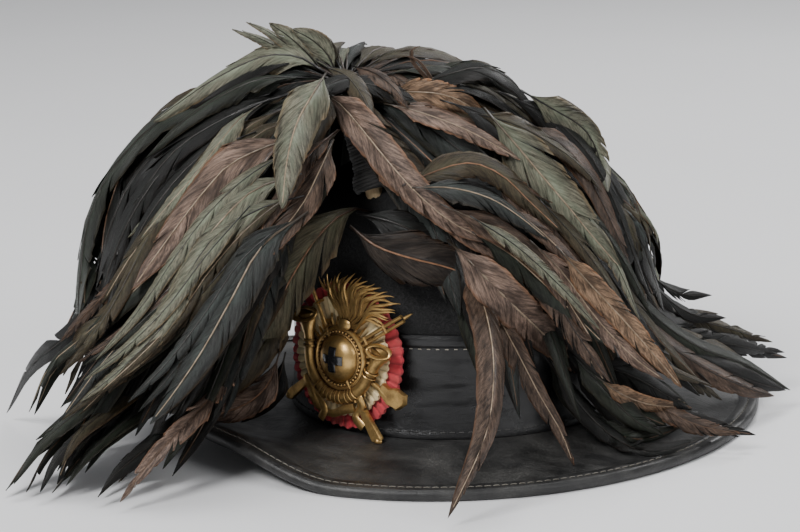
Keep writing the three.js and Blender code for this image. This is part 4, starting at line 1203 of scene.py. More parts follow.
def add_tools(shape, level):
    """The axe on the right, and the two ribbon ends that tie the trophy."""
    axe = [
        (-5.5, -4.2), (1.5, -5.6), (7.5, -3.4), (8.6, 0.8), (6.2, 4.6), (0.5, 3.8), (-2.2, 1.2), (-6.2, 0.9),
    ]  # fmt: skip
    add_slab(shape, turned_outline(axe, (29.5, -12.4), -35), level - 1.4, level + 1.3, 0.7)
    handle = curve_through([(14.5, -7, level), (23, -11, level + 0.3), (33, -19, level)], 10)
    add_tube(shape, handle, 1.3, 1.2, sides=8)
    for points in (
        ((-23.5, -11.5), (-19.5, -17.0), (-14.5, -21.0), (-9.8, -25.6), (-12.0, -30.5)),
        ((-21.0, -14.5), (-15.0, -24.0), (-6.0, -27.0), (2.0, -24.0), (8.5, -21.9)),
        ((9.0, -14.0), (12.5, -20.0), (9.0, -26.0), (14.0, -30.5)),
    ):
        steps = 26
        path = curve_through([(x + 1.5, y, level + 1.4) for x, y in points], steps)
        wave = 0.6 * np.sin(np.linspace(0, 9, steps))
        path[:, 2] += 0.6 * wave
        add_tube(shape, path, 2.0 + 0.3 * wave, 0.6, sides=8)


RIFLE_BUTTS = ((-35, -23), (22.5, -36.5))
RIFLE_MUZZLES = ((35.5, 23.8), (-19.5, 34.8))
BAYONET_TURNS = (33, 120)
BAYONET = 5.0


def build_badge(look):
    """The cast trophy: flames, horn, boss, rifles, axe and ribbons as one brass piece."""
    shape = Shape()
    base = BADGE_BASE + BADGE_PLATE
    add_rifle(shape, RIFLE_BUTTS[0], RIFLE_MUZZLES[0], base, True)
    add_rifle(shape, RIFLE_BUTTS[1], RIFLE_MUZZLES[1], base + UPPER_RIFLE_LEVEL, False)
    add_tools(shape, base + TOOLS_LEVEL)
    add_horn(shape, base + HORN_LEVEL)
    add_flames(shape, base + FLAMES_LEVEL)
    add_boss(shape, base + BOSS_LEVEL)
    neck = [(0, -3.0), (4.4, -3.0), (4.6, -1.0), (3.6, 0.8), (3.9, 1.8), (2.6, 2.6), (0, 2.8)]
    add_turned(shape, neck, (3.0, 16.5, base + FLAMES_LEVEL), 18, stretch=(1, 0.7))
    for muzzle, turn in zip(RIFLE_MUZZLES, BAYONET_TURNS):
        ends = turned_outline([(0, 0), (BAYONET, 0)], muzzle, turn)
        spike = curve_through([(x, y, base + UPPER_RIFLE_LEVEL) for x, y in ends], 5)
        add_tube(shape, spike, (0.9, 0.8, 0.7, 0.5, 0.15), 0.6, sides=6)
    floor = (-1e9, -1e9, BADGE_BASE)
    shape.points = [np.maximum(p, floor) + (BADGE_SHIFT, 0, 0) for p in shape.points]
    shape.moved(seat)
    piece = shape.piece("cast_trophy", [brass_material(look.brass, look.patina)], sharp=42)
    return dress(piece, ["badge"])


def build_cross():
    """The enamel cross: its outline, chipped at one corner, bowed over the dome like an inlay."""
    arm, half = 2.1, 6.0
    outline = [
        (-arm, -half), (arm, -half), (arm, -arm), (half, -arm), (half, arm), (arm, arm),
        (arm, half), (-arm, half), (-arm, arm), (-half, arm), (-half, 0.2), (-half + 1.6, -arm),
        (-arm, -arm),
    ]  # fmt: skip
    dense = []
    for a, b in zip(outline, outline[1:] + outline[:1]):
        dense += [np.array(a) + (np.array(b) - np.array(a)) * s for s in (0, 0.33, 0.67)]
    dense = np.array(dense)
    centre = np.array([BADGE_SHIFT, 0.0])
    level = BADGE_BASE + BADGE_PLATE + BOSS_LEVEL
    radii, heights = np.transpose(BOSS_DOME[:2:-1])

    def dome(x, y):
        """The boss's height over its face."""
        return np.interp(np.hypot(x - BADGE_SHIFT, y), radii, heights)

    shape = Shape()
    rings = []
    for scale, out in ((1.0, -0.5), (1.0, 0.35), (0.9, 0.6), (0.45, 0.62)):
        xy = dense * scale + centre
        rings.append(np.column_stack([xy, level + dome(xy[:, 0], xy[:, 1]) + out]))
    top = level + dome(*centre)
    rings.append([[*centre, top - 0.5], [*centre, top + 0.62]])
    shape.add(np.concatenate(rings), capped(4, len(dense)))
    piece = shape.moved(seat).piece("enamel_cross", [enamel_material()], sharp=40)
    return dress(piece, ["badge_cross"])


# Stem


def build_stem():
    """The bare peg with a splintered end, and the thread and cloth wound round the stem above it."""
    along = unit(STEM_TOP - STEM_FOOT)
    side = unit(np.cross(along, (0, 0, 1.0)))
    other = np.cross(along, side)

    def round_stem(angle):
        """Directions from the stem's middle line at angles."""
        return np.cos(angle)[:, None] * side + np.sin(angle)[:, None] * other

    wood = Shape()
    rows, columns = 26, 28
    rng = np.random.default_rng(4)
    t = np.linspace(-6, 44, rows)
    rough = PEG_RADIUS * (1 + rng.normal(0, 0.03, (rows, columns)))
    ragged = rng.uniform(0, 2.4, columns)
    lengths = t[:, None] + np.where(t[:, None] < -4, ragged, 0)
    ring = STEM_FOOT + along * lengths[..., None] + rough[..., None] * round_stem(circle(columns))
    ends = [STEM_FOOT - along * 4.5], [STEM_FOOT + along * 44.5]
    points = np.concatenate([ring.reshape(-1, 3), *ends])
    wood.add(keep_off(points, 0.2), capped(rows, columns))
    dress(wood.piece("bare_peg", [wood_material()], sharp=50), ["plume_stem"])
    cloth = Shape()
    turns = 26
    steps = turns * 20
    w = np.linspace(0, 1, steps)
    angle = w * turns * 2 * np.pi
    swell = 6.1 + 2.4 * np.exp(-((w - 0.08) / 0.1) ** 2) + 0.25 * np.sin(angle * 0.31)
    helix = STEM_FOOT + along * (w * WRAP_LENGTH)[:, None] + swell[:, None] * round_stem(angle)
    add_tube(cloth, keep_off(helix, 1.3), 1.05, 1.0, up=along, sides=6)
    core = np.linspace(0, WRAP_LENGTH, 12)
    body = STEM_FOOT + along * core[:, None]
    add_tube(cloth, body, 5.4, 5.4, up=side, sides=16)
    material = thread_material("stem thread", (0.012, 0.012, 0.012), (0.1, 0.095, 0.09))
    return dress(cloth.piece("wound_cloth", [material]), ["stem_wrap"])


# Feathers

TONES = {
    # vane colour, and whether it gets a painted blue green highlight and sheen
    "dark": ((0.007, 0.0065, 0.006), True),
    "green": ((0.013, 0.0145, 0.0105), True),
    "blue": ((0.02, 0.0215, 0.0205), True),
    "bronze": ((0.036, 0.028, 0.017), True),
    "brown": ((0.074, 0.051, 0.038), False),
    "pink": ((0.15, 0.106, 0.083), False),
    "tan": ((0.19, 0.125, 0.08), False),
    "umber": ((0.026, 0.02, 0.016), False),
    "olive": ((0.07, 0.06, 0.038), True),
    "sage": ((0.104, 0.101, 0.075), True),
}
SHAFTS = {
    "dark": (0.016, 0.011, 0.008),
    "pale": (0.34, 0.26, 0.18),
    "orange": (0.27, 0.135, 0.07),
    "brown": (0.1, 0.055, 0.03),
}
LINE_STEPS = 90
VANE_ROWS = 42
SHAFT_STEPS = 14

# Clearances off the hat: of a placed feather's line, along its rays and after, of the lines that follow
# the fall, less for the lowest, and of the vanes
RAY_CLEAR = 3.0
LINE_CLEAR = 2.0
FALL_CLEAR = 8.5
LOWEST_LESS = 3
VANE_CLEAR = 0.7
FALL_VANE_CLEAR = 2.4

# Depths that are tried on a ray, behind the hat's middle
TRIAL_DEPTHS = np.linspace(-230, 150, 191)

# How the plume falls all round. A heading runs from the wearer's left towards the back, in degrees. Each
# line gives places from root to tip: how far out from the stem's top, as a share of the plume's reach,
# and how high, as a share of the stem's top.
FALL = {
    -62: ((0.02, 1.02), (0.07, 0.96), (0.12, 0.89), (0.17, 0.82), (0.21, 0.75), (0.25, 0.7), (0.28, 0.65)),
    -40: ((0.02, 1.02), (0.08, 0.99), (0.16, 0.92), (0.24, 0.83), (0.31, 0.75), (0.37, 0.68), (0.43, 0.58)),
    -18: ((0.02, 1.02), (0.12, 0.96), (0.24, 0.88), (0.34, 0.82), (0.42, 0.71), (0.49, 0.5), (0.56, 0.2)),
    8: ((0.02, 1.02), (0.15, 1.03), (0.29, 0.95), (0.4, 0.84), (0.5, 0.68), (0.6, 0.48), (0.76, 0.14)),
    28: ((0.02, 1.02), (0.16, 1.04), (0.3, 1.05), (0.44, 0.93), (0.56, 0.72), (0.66, 0.46), (0.92, 0.2)),
    45: ((0.02, 1.02), (0.16, 1.07), (0.31, 1.05), (0.45, 0.93), (0.56, 0.75), (0.64, 0.55), (0.8, 0.3)),
    100: ((0.02, 1.02), (0.16, 1.08), (0.31, 1.05), (0.44, 0.94), (0.54, 0.79), (0.61, 0.62), (0.68, 0.41)),
    165: ((0.02, 1.03), (0.15, 1.09), (0.28, 1.06), (0.39, 0.95), (0.47, 0.78), (0.53, 0.6), (0.59, 0.32)),
    190: ((0.02, 1.04), (0.14, 1.09), (0.27, 1.04), (0.39, 0.93), (0.5, 0.75), (0.6, 0.5), (0.73, 0.19)),
    215: ((0.02, 1.04), (0.14, 1.05), (0.27, 0.96), (0.39, 0.81), (0.5, 0.62), (0.6, 0.4), (0.69, 0.16)),
    240: ((0.02, 1.03), (0.14, 1.0), (0.28, 0.88), (0.41, 0.72), (0.54, 0.52), (0.67, 0.29), (0.8, 0.05)),
    258: ((0.02, 1.03), (0.12, 1.0), (0.22, 0.93), (0.31, 0.81), (0.4, 0.6), (0.55, 0.3), (0.74, 0.04)),
    275: ((0.02, 1.03), (0.09, 1.01), (0.17, 0.95), (0.24, 0.88), (0.3, 0.79), (0.34, 0.7), (0.37, 0.6)),
}
FALL_START = min(FALL)


def fall_lines(heading):
    """The fall's distances out and heights at headings, in millimetres, a last axis along the line."""
    keys = [*FALL, FALL_START + 360]
    lines = np.array([*FALL.values(), FALL[FALL_START]]) * (PLUME_REACH, STEM_TOP[2])
    reach, height = np.moveaxis(lines, -1, 0)
    return [np.stack([np.interp(heading, keys, at) for at in kind.T], axis=-1) for kind in (reach, height)]


def fall_height(points):
    """How high the fall passes over or under points. Past its tips it drops steeply."""
    apart = points[..., :2] - STEM_TOP[:2]
    heading = (np.degrees(np.arctan2(apart[..., 1], apart[..., 0])) - FALL_START) % 360 + FALL_START
    out = np.hypot(apart[..., 0], apart[..., 1])
    reach, high = fall_lines(heading)
    height = high[..., 0]
    for j in range(reach.shape[-1] - 1):
        share = np.clip((out - reach[..., j]) / (reach[..., j + 1] - reach[..., j]), 0, 1)
        height = np.where(share > 0, high[..., j] + (high[..., j + 1] - high[..., j]) * share, height)
    return height - 3 * np.maximum(out - reach[..., -1], 0)


def pixel_rays(pixels):
    """Directions from the camera through pixels of the photograph."""
    px = np.asarray(pixels, float)
    across = (px[:, :1] - IMAGE_WIDTH / 2) / FOCAL_PIXELS
    above = (IMAGE_HEIGHT / 2 - px[:, 1:]) / FOCAL_PIXELS
    return CAMERA_AIM + across * CAMERA_RIGHT + above * CAMERA_UP


def at_depth(pixels, depth):
    """Points on the pixels' rays at a level distance behind the hat's middle."""
    rays = pixel_rays(pixels)
    origin = np.array([*HAT_CENTRE, 0.0])
    reach = (np.asarray(depth) - (CAMERA_PLACE - origin) @ AWAY) / (rays @ AWAY)
    return CAMERA_PLACE + rays * reach[:, None]


def depth_at_height(pixel, height):
    """How far behind the hat's middle a pixel's ray comes down to a height."""
    ray = pixel_rays([pixel])[0]
    point = CAMERA_PLACE + ray * (height - CAMERA_PLACE[2]) / ray[2]
    return (point - np.array([*HAT_CENTRE, 0.0])) @ AWAY


def along_rays(pixels):
    """The points on every ray at the depths to try."""
    points = [at_depth(pixels, np.full(len(pixels), depth)) for depth in TRIAL_DEPTHS]
    return np.stack(points, axis=1)


def clear_of_hat(pixels, depth, clear):
    """Brings each ray's point nearer than the hat's grown outside, tested against it in steps."""
    points = along_rays(pixels)
    inside = np.linalg.norm(keep_off(points, clear) - points, axis=-1) > 0.01
    step = TRIAL_DEPTHS[1] - TRIAL_DEPTHS[0]
    first = np.where(inside.any(axis=1), TRIAL_DEPTHS[np.argmax(inside, axis=1)] - step, np.inf)
    return np.minimum(depth, first)


def on_fall(pixels):
    """Where each pixel's ray meets the plume's fall, or passes nearest to it, evened along the feather."""
    points = along_rays(pixels)
    above = points[..., 2] - fall_height(points)
    met = np.where((above < 0).any(axis=1), np.argmax(above < 0, axis=1), np.argmin(above, axis=1))
    t = np.linspace(0, 1, len(pixels))
    return np.polyval(np.polyfit(t, TRIAL_DEPTHS[met], min(3, len(pixels) - 2)), t)


def feather_frame(path, roll, skew, flat):
    """A feather's shaft line with its side and its facing, turned outward and to its roll.

    A flat one lies broadside to the front.
    """
    line = curve_through(path, LINE_STEPS)
    tangent = unit(np.gradient(line, axis=0))
    middle = (STEM_TOP + [*HAT_CENTRE, 0.0]) / 2 * (1, 1, 0.25)
    facing = unit(line - middle) * (1 - 0.7 * flat) - AWAY * (0.35 + 0.65 * flat)
    side = unit(np.cross(tangent, facing))
    normal = np.cross(side, tangent)
    turn = np.radians(roll + skew * np.linspace(-0.5, 0.5, LINE_STEPS))[:, None]
    c, s = np.cos(turn), np.sin(turn)
    return line, side * c + normal * s, normal * c - side * s


def add_vane(shape, frame_lines, hand, half, length, rng, tone, slot, rows, columns, ragged, curl, clear):
    """One side of a feather, as barbs in rows that leave the shaft and sweep forward to the edge.

    A barb is given by its place t along the shaft and a share s along itself. It lies where the shaft is
    at t + sweep s, and bends round an arc of the curl's angle. At a split the rows part: they move away
    by the opening times s^2 and less with their distance from it.
    """
    line, side, normal = frame_lines
    grid = np.linspace(0, 1, LINE_STEPS)

    def sample(values, t):
        """Reads a line's values at places along it."""
        return np.stack([np.interp(t, grid, values[:, i]) for i in range(3)], axis=-1)

    count = rng.poisson(3.2 * ragged)
    splits = np.sort(rng.uniform(0.15, 0.92, count))
    t = np.sort(np.concatenate([np.linspace(0.03, 1, rows), splits - 1e-4, splits + 1e-4]))[:, None]
    s = np.linspace(0, 1, columns)[None, :]
    opening = rng.uniform(0.005, 0.02, count) * rng.choice((0.6, 1, 1.8), count)
    lift = rng.normal(0, 0.1, count)
    shift = np.zeros_like(t)
    raised = np.zeros_like(t)
    for at, wide, high in zip(splits, opening, lift):
        near = np.exp(-np.abs(t - at) / (wide * 2.2)) * np.sign(t - at)
        shift += wide * near
        raised += high * near
    sweep = 2.1 * half / length
    ahead = np.clip(t + shift * s**2 + sweep * s * np.clip(1.25 - t, 0.25, 1), 0, 1)
    outline = (0.12 + 0.88 * smooth(ahead, 0.0, 0.26)) * (1 - ahead**3.2) ** 0.85
    frayed = 1 - (0.07 + 0.12 * ragged * (rng.random(t.shape) > 0.85)) * rng.random(t.shape) * s**3
    bend = curl * (0.8 + 0.4 * t)
    reach = half * outline * frayed / (np.sin(bend) / bend) ** 0.5
    arc = bend * s + 1e-6
    wave = rng.uniform(0.01, 0.05) * half
    wave = wave * np.sin(2 * np.pi * (rng.uniform(0.8, 2.0) * t + rng.random()))
    fluff = 0.14 * half * np.clip(1 - t / 0.16, 0, 1) * rng.normal(0, 1, t.shape)
    down = reach / bend * (1 - np.cos(arc)) - (wave * s**2 + raised * half * s**2 + fluff * s)
    points = sample(line, ahead) + sample(side, ahead) * (hand * reach / bend * np.sin(arc))[..., None]
    points = keep_off(points - sample(normal, ahead) * down[..., None], clear)
    faces = grid_faces(len(t), columns).reshape(len(t) - 1, columns - 1, 4)
    faces = faces[np.diff(t[:, 0]) > 3e-4].reshape(-1, 4)
    uv = np.stack([t * length / 100 + 0 * s, s * hand + 0 * t], axis=-1)
    shade = 1 + 0.12 * np.sin(t * rng.uniform(6, 16) + rng.random() * 6)
    shade = np.multiply(tone, shade[..., None] + 0 * s[..., None])
    colours = np.concatenate([shade, np.ones((*uv.shape[:2], 1))], axis=-1)
    shape.add(points.reshape(-1, 3), [faces], slot, uv.reshape(-1, 2), colours.reshape(-1, 4))


def add_feather(
    shape, path, width, seed, tone, shaft, roll, skew, rows,
    ragged=1.0, columns=5, flat=False, clear=VANE_CLEAR,
):
    """One feather: a tapered shaft with a curled vane on each side of it."""
    rng = np.random.default_rng(seed)
    lines = feather_frame(path, roll, skew, flat)
    length = np.linalg.norm(np.diff(lines[0], axis=0), axis=1).sum()
    vane, shimmers = TONES[tone]
    rolled = rng.uniform(0.25, 0.6, 2)
    rolled[rng.integers(2)] += 0 if flat else rng.uniform(0, 0.7)
    for hand, curl in zip((-1, 1), rolled):
        half = width / 2 * (1 + 0.12 * hand * rng.uniform(-1, 1))
        # Slot 0 is the vane material whose colour holds a painted highlight and sheen.
        slot = 0 if shimmers else 2
        add_vane(shape, lines, hand, half, length, rng, vane, slot, rows, columns, ragged, curl, clear)
    at = np.linspace(0, LINE_STEPS * 0.96, SHAFT_STEPS).astype(int)
    thin = np.interp(at / LINE_STEPS, [0, 0.3, 1], [0.5, 0.3, 0.1]) * np.clip(width / 22, 0.5, 1.1)
    core = keep_off(lines[0][at] + lines[2][at] * 0.15, clear + 0.2)
    light = np.interp(at / LINE_STEPS, [0.05, 0.35], [0.08, 1])[:, None] * np.asarray(SHAFTS[shaft])
    rings = np.concatenate([np.repeat(light, 4, axis=0), light[:1], light[-1:]])
    colours = np.column_stack([rings, np.ones(len(rings))])
    add_tube(shape, core, thin, thin, up=lines[2][LINE_STEPS // 2], sides=4, slot=1, tone=colours)


def lay(
    tone, shaft, width, *pixels,
    over=0, start=None, end=None, low=None, bow=0, ragged=1.0, mates=1, flat=False,
):
    """A feather placed by the photograph, as a row of the tables below.

    Its pixels run from root to tip. It lies on the plume's fall, or over it by a distance towards the
    camera. With a start it leaves the fall: start and end are then how far behind the hat's middle its
    ends lie, or low is its tip's height, and bow is how much nearer its middle comes. mates is how many
    like it lie under it.
    """
    return dict(
        tone=tone, shaft=shaft, width=width, pixels=np.array(pixels, float), over=over, start=start, end=end,
        low=low, bow=bow, mates=mates, ragged=ragged, flat=flat,
    )  # fmt: skip


LEFT_FEATHERS = (
    # the outer arch
    lay("green", "dark", 33, (262, 88), (224, 101), (180, 110), (146, 132), (108, 176), (88, 224), (80, 280),
        (78, 322), mates=3),
    lay("dark", "dark", 28, (270, 100), (222, 120), (176, 150), (140, 196), (116, 246), (100, 302), over=1,
        mates=3),
    lay("dark", "dark", 24, (244, 130), (196, 160), (156, 206), (128, 256), (106, 312), over=2, mates=3),
    lay("dark", "dark", 36, (270, 94), (216, 112), (168, 142), (130, 184), (108, 236), (96, 290), over=-5),
    lay("dark", "dark", 26, (300, 92), (250, 106), (206, 130), (168, 164), (134, 212), (112, 262), (98, 318),
        mates=2),
    lay("dark", "dark", 24, (280, 110), (226, 136), (180, 176), (146, 226), (120, 280), (104, 330), over=1,
        mates=2),
    # the crest that stands up at the left
    lay("green", "dark", 20, (308, 78), (262, 79), (222, 96), (180, 124), (146, 158), over=3, mates=2),
    lay("sage", "dark", 31, (324, 72), (298, 57), (262, 57), (214, 80), (178, 104), (154, 122), over=7,
        mates=2),
    lay("sage", "dark", 9, (300, 62), (282, 50), (258, 38), (232, 29), start=-34, end=-32),
    lay("sage", "dark", 9, (306, 62), (290, 47), (268, 32), (246, 22), start=-35, end=-33, mates=0),
    lay("sage", "dark", 14, (320, 68), (306, 52), (288, 36), (269, 23), start=-36, end=-34, mates=0,
        flat=True),
    lay("sage", "dark", 14, (336, 72), (327, 54), (312, 40), (292, 29), start=-37, end=-35, flat=True),
    # the rows inside it
    lay("bronze", "pale", 19, (290, 106), (244, 130), (204, 166), (170, 208), (134, 252), (102, 304), over=3,
        mates=2),
    lay("bronze", "pale", 17, (306, 116), (262, 132), (216, 170), (178, 214), (146, 258), (108, 314), over=4,
        mates=2),
    lay("sage", "pale", 14, (262, 104), (241, 118), (222, 140), (195, 175), (166, 208), (140, 240), over=8),
    lay("pink", "pale", 26, (304, 136), (274, 144), (232, 163), (209, 186), (188, 212), (160, 250),
        (132, 290), over=9),
    lay("brown", "brown", 10, (128, 270), (104, 296), (82, 318), (60, 342), over=2, ragged=2, mates=0),
    # the bundles that sweep down to the left
    lay("bronze", "dark", 16, (256, 132), (212, 152), (178, 196), (148, 238), (116, 300), (88, 342),
        (60, 375), over=6, mates=2),
    lay("green", "pale", 19, (300, 168), (256, 190), (220, 222), (158, 270), (84, 336), (50, 366), (29, 412),
        over=8, mates=3),
    lay("blue", "pale", 18, (304, 184), (250, 222), (204, 270), (160, 316), (112, 352), (59, 422), over=9,
        mates=3),
    lay("green", "dark", 19, (300, 200), (248, 244), (200, 294), (160, 340), (120, 370), (74, 404), over=10,
        mates=2),
    lay("sage", "pale", 25, (302, 174), (262, 186), (235, 206), (198, 250), (173, 298), (148, 336),
        (122, 362), over=13, mates=2),
    lay("sage", "dark", 16, (304, 196), (262, 208), (216, 236), (190, 272), (166, 320), (134, 362),
        (100, 388), over=15, mates=2),
    lay("blue", "pale", 25, (308, 212), (262, 246), (232, 298), (204, 348), (176, 390), (150, 424), over=17,
        mates=3),
    # narrow ones among them
    lay("sage", "dark", 11, (290, 150), (246, 178), (208, 214), (172, 262), (138, 312), (96, 360), over=13),
    lay("bronze", "pale", 11, (296, 190), (250, 226), (212, 268), (178, 316), (140, 356), (96, 396),
        over=15),
    lay("blue", "dark", 10, (280, 226), (240, 262), (206, 312), (168, 362), (128, 402), over=18),
    lay("sage", "dark", 10, (250, 206), (206, 256), (168, 306), (128, 346), (84, 380), over=17),
    lay("bronze", "dark", 11, (240, 250), (196, 300), (150, 346), (104, 384), (62, 420), over=13),
    lay("brown", "dark", 10, (214, 240), (170, 288), (124, 330), (78, 362), over=11),
    lay("sage", "dark", 9, (200, 280), (160, 330), (120, 370), (80, 402), over=15),
    # the short browns before the stem
    lay("brown", "orange", 17, (338, 130), (306, 158), (282, 196), (262, 228), (256, 272), over=10,
        ragged=1.8, mates=2),
    lay("brown", "pale", 20, (334, 140), (320, 170), (304, 202), (282, 232), (262, 264), over=14, ragged=1.8,
        mates=2),
    lay("sage", "pale", 26, (326, 73), (314, 92), (299, 118), (291, 142), (286, 168), (282, 209), over=24,
        mates=0, flat=True),
    # beside the cockade
    lay("dark", "dark", 17, (306, 240), (288, 282), (270, 324), (246, 362), (212, 394), start=-66, bow=20,
        low=20, mates=2),
    lay("bronze", "dark", 20, (286, 300), (262, 344), (230, 378), (196, 402), (160, 412), start=-80, bow=24,
        low=18, mates=2),
    lay("pink", "orange", 17, (280, 352), (268, 384), (246, 404), (212, 416), (186, 422), start=-100, bow=6,
        low=14),
    lay("olive", "orange", 27, (372, 212), (352, 209), (333, 221), (313, 243), (290, 280), (271, 316),
        (252, 344), (226, 374), (186, 418), start=-70, bow=24, low=15, mates=0, flat=True),
    # the lowest tips, which hang past the brim
    lay("dark", "dark", 18, (262, 330), (206, 400), (152, 444), (116, 474), (98, 497), start=-96, bow=14,
        low=5, mates=3),
    lay("green", "dark", 18, (240, 320), (180, 380), (122, 424), (88, 456), (66, 486), start=-86, bow=14,
        low=6, mates=3),
    lay("dark", "dark", 18, (220, 310), (150, 376), (98, 420), (60, 454), (40, 492), start=-80, bow=14,
        low=6, mates=3),
    lay("green", "dark", 18, (205, 300), (136, 362), (80, 410), (40, 446), (14, 484), start=-75, bow=14,
        low=8, mates=3),
    lay("green", "pale", 19, (270, 250), (204, 306), (140, 358), (84, 404), (36, 440), start=-80, bow=24,
        low=14, mates=3),
    lay("dark", "dark", 20, (300, 222), (268, 284), (240, 334), (196, 380), (150, 412), start=-76, bow=32,
        low=18, mates=3),
    lay("pink", "brown", 16, (250, 344), (218, 388), (188, 422), (150, 462), (120, 502), start=-104, bow=12,
        low=5, ragged=2.2, mates=0),
)
RIGHT_FEATHERS = (
    # the arch over the right
    lay("dark", "dark", 22, (410, 88), (444, 76), (480, 68), (512, 82), (548, 126), start=-34, bow=10,
        end=-34, mates=3),
    lay("dark", "dark", 25, (556, 128), (606, 174), (634, 224), (652, 272), (664, 312), over=-4),
    lay("dark", "dark", 20, (500, 92), (552, 118), (590, 156), (616, 206), (636, 262), (652, 300), over=0,
        mates=3),
    lay("brown", "dark", 18, (520, 120), (560, 144), (588, 176), (610, 220), (632, 272), over=1, mates=2),
    lay("dark", "dark", 22, (440, 100), (486, 116), (530, 150), (566, 196), (600, 246), over=2, mates=3),
    lay("sage", "dark", 18, (520, 90), (551, 108), (585, 130), (600, 160), (608, 192), over=3, flat=True),
    lay("bronze", "dark", 15, (470, 112), (518, 126), (560, 150), (586, 172), (602, 192), over=5),
    lay("tan", "pale", 19, (384, 92), (412, 92), (440, 94), (464, 103), (490, 123), start=-46, bow=10,
        end=-50, flat=True),
    lay("pink", "pale", 16, (384, 104), (412, 110), (453, 124), (486, 140), (520, 160), over=6),
    lay("sage", "pale", 27, (484, 108), (512, 140), (538, 171), (566, 204), (594, 238), (622, 270), over=9,
        flat=True),
    # over the roots
    lay("bronze", "dark", 15, (322, 66), (346, 76), (362, 96), (372, 118), over=9),
    lay("dark", "dark", 17, (330, 80), (356, 82), (384, 88), (414, 100), over=8),
    lay("brown", "dark", 13, (352, 66), (376, 74), (396, 90), (408, 108), over=9),
    lay("dark", "dark", 15, (366, 76), (340, 80), (316, 92), (296, 108), over=8),
    # the middle rows
    lay("brown", "dark", 24, (476, 164), (520, 194), (560, 232), (596, 280), (614, 320), over=4, mates=2),
    lay("bronze", "orange", 18, (402, 186), (424, 176), (466, 163), (500, 174), (530, 202), (562, 232),
        over=8),
    lay("blue", "pale", 19, (412, 188), (451, 188), (489, 198), (520, 217), (548, 240), over=10, mates=2),
    lay("brown", "pale", 18, (440, 204), (500, 232), (540, 262), (568, 302), (592, 340), over=8, mates=2),
    lay("green", "pale", 16, (472, 232), (510, 254), (544, 284), (574, 314), (604, 344), over=6, mates=2),
    lay("brown", "dark", 18, (488, 236), (522, 256), (554, 298), (582, 342), (610, 382), over=6, mates=2),
    lay("dark", "dark", 20, (556, 226), (596, 262), (632, 312), (666, 360), (700, 396), over=0, mates=3),
    lay("tan", "pale", 14, (556, 246), (588, 282), (620, 316), (650, 350), (682, 388), over=15, flat=True),
    lay("pink", "pale", 15, (530, 240), (562, 272), (596, 318), (632, 356), (664, 380), over=7),
    # narrow ones among them
    lay("sage", "dark", 11, (560, 180), (590, 220), (618, 268), (640, 320), over=8),
    lay("bronze", "dark", 11, (540, 200), (580, 244), (616, 296), (646, 346), over=8),
    lay("brown", "pale", 10, (500, 200), (546, 236), (588, 282), (624, 332), over=10),
    lay("sage", "dark", 10, (470, 216), (516, 246), (560, 286), (600, 330), over=12),
    lay("bronze", "dark", 10, (580, 280), (620, 330), (664, 366), (712, 386), over=8),
    # down the front, over the crown
    lay("dark", "dark", 22, (356, 214), (392, 222), (430, 240), (476, 268), start=-92, bow=6, end=-100),
    lay("umber", "orange", 34, (350, 226), (376, 246), (410, 258), (446, 267), (488, 282), start=-98, bow=8,
        end=-104, mates=0, flat=True),
    lay("pink", "pale", 20, (366, 150), (398, 172), (424, 196), (456, 222), (500, 252), start=-64, bow=14,
        end=-108),
    lay("pink", "pale", 22, (322, 92), (342, 106), (366, 134), (392, 166), (422, 198), (458, 226),
        (504, 246), start=-60, bow=18, end=-112, flat=True),
    lay("pink", "pale", 22, (398, 186), (428, 190), (452, 214), (480, 240), (512, 262), start=-72, bow=14,
        end=-108),
    # the long feathers that fall to the front right
    lay("pink", "pale", 27, (448, 240), (474, 266), (508, 300), (548, 338), (600, 384), start=-112, bow=48,
        low=24, mates=0, flat=True),
    lay("brown", "pale", 15, (470, 272), (490, 302), (514, 346), (540, 396), (560, 430), (574, 466),
        start=-96, bow=12, low=7, mates=0),
    lay("brown", "pale", 19, (464, 262), (482, 300), (492, 344), (493, 388), (484, 440), (448, 518),
        start=-94, bow=18, low=4.5, mates=0),
    lay("tan", "pale", 10, (596, 376), (618, 392), (648, 404), (692, 408), start=-100, bow=12, low=18,
        mates=0, flat=True),
    lay("dark", "dark", 18, (552, 326), (590, 360), (632, 376), (664, 394), (690, 410), start=-80, bow=10,
        low=18, mates=3),
    lay("dark", "dark", 13, (548, 356), (576, 400), (612, 436), (652, 452), (704, 438), start=-90, bow=6,
        low=10),
    lay("green", "dark", 17, (570, 352), (600, 384), (632, 418), (664, 436), start=-88, bow=6, low=12,
        mates=2),
    lay("brown", "brown", 15, (620, 374), (654, 402), (694, 424), (740, 434), start=-62, bow=8, low=11,
        ragged=2.2),
    # the fan that lies out to the right
    lay("dark", "dark", 17, (590, 196), (626, 240), (654, 286), (690, 314), (726, 318), start=-30, bow=8,
        end=0, ragged=2, mates=2),
    lay("bronze", "dark", 17, (600, 232), (636, 278), (672, 312), (720, 326), (772, 342), start=-40, bow=10,
        low=25, ragged=2.2, mates=2),
    lay("dark", "dark", 17, (606, 250), (644, 300), (690, 334), (740, 346), (776, 354), start=-42, bow=10,
        low=22, ragged=2.2, mates=2),
    lay("green", "dark", 15, (612, 262), (652, 314), (700, 348), (748, 366), (790, 390), start=-48, bow=12,
        low=10, mates=2),
    lay("brown", "dark", 21, (620, 290), (658, 336), (704, 368), (742, 386), (774, 396), start=-56, bow=10,
        low=11, mates=2),
    lay("bronze", "dark", 15, (600, 290), (644, 342), (684, 376), (722, 400), start=-60, bow=10, low=16,
        mates=3),
    lay("brown", "brown", 3.5, (436, 88), (424, 74), (414, 62), (412, 50), (420, 46), start=-38, end=-40,
        mates=0),
    lay("brown", "brown", 3.5, (438, 90), (428, 72), (418, 60), (406, 56), start=-38, end=-40, mates=0),
)


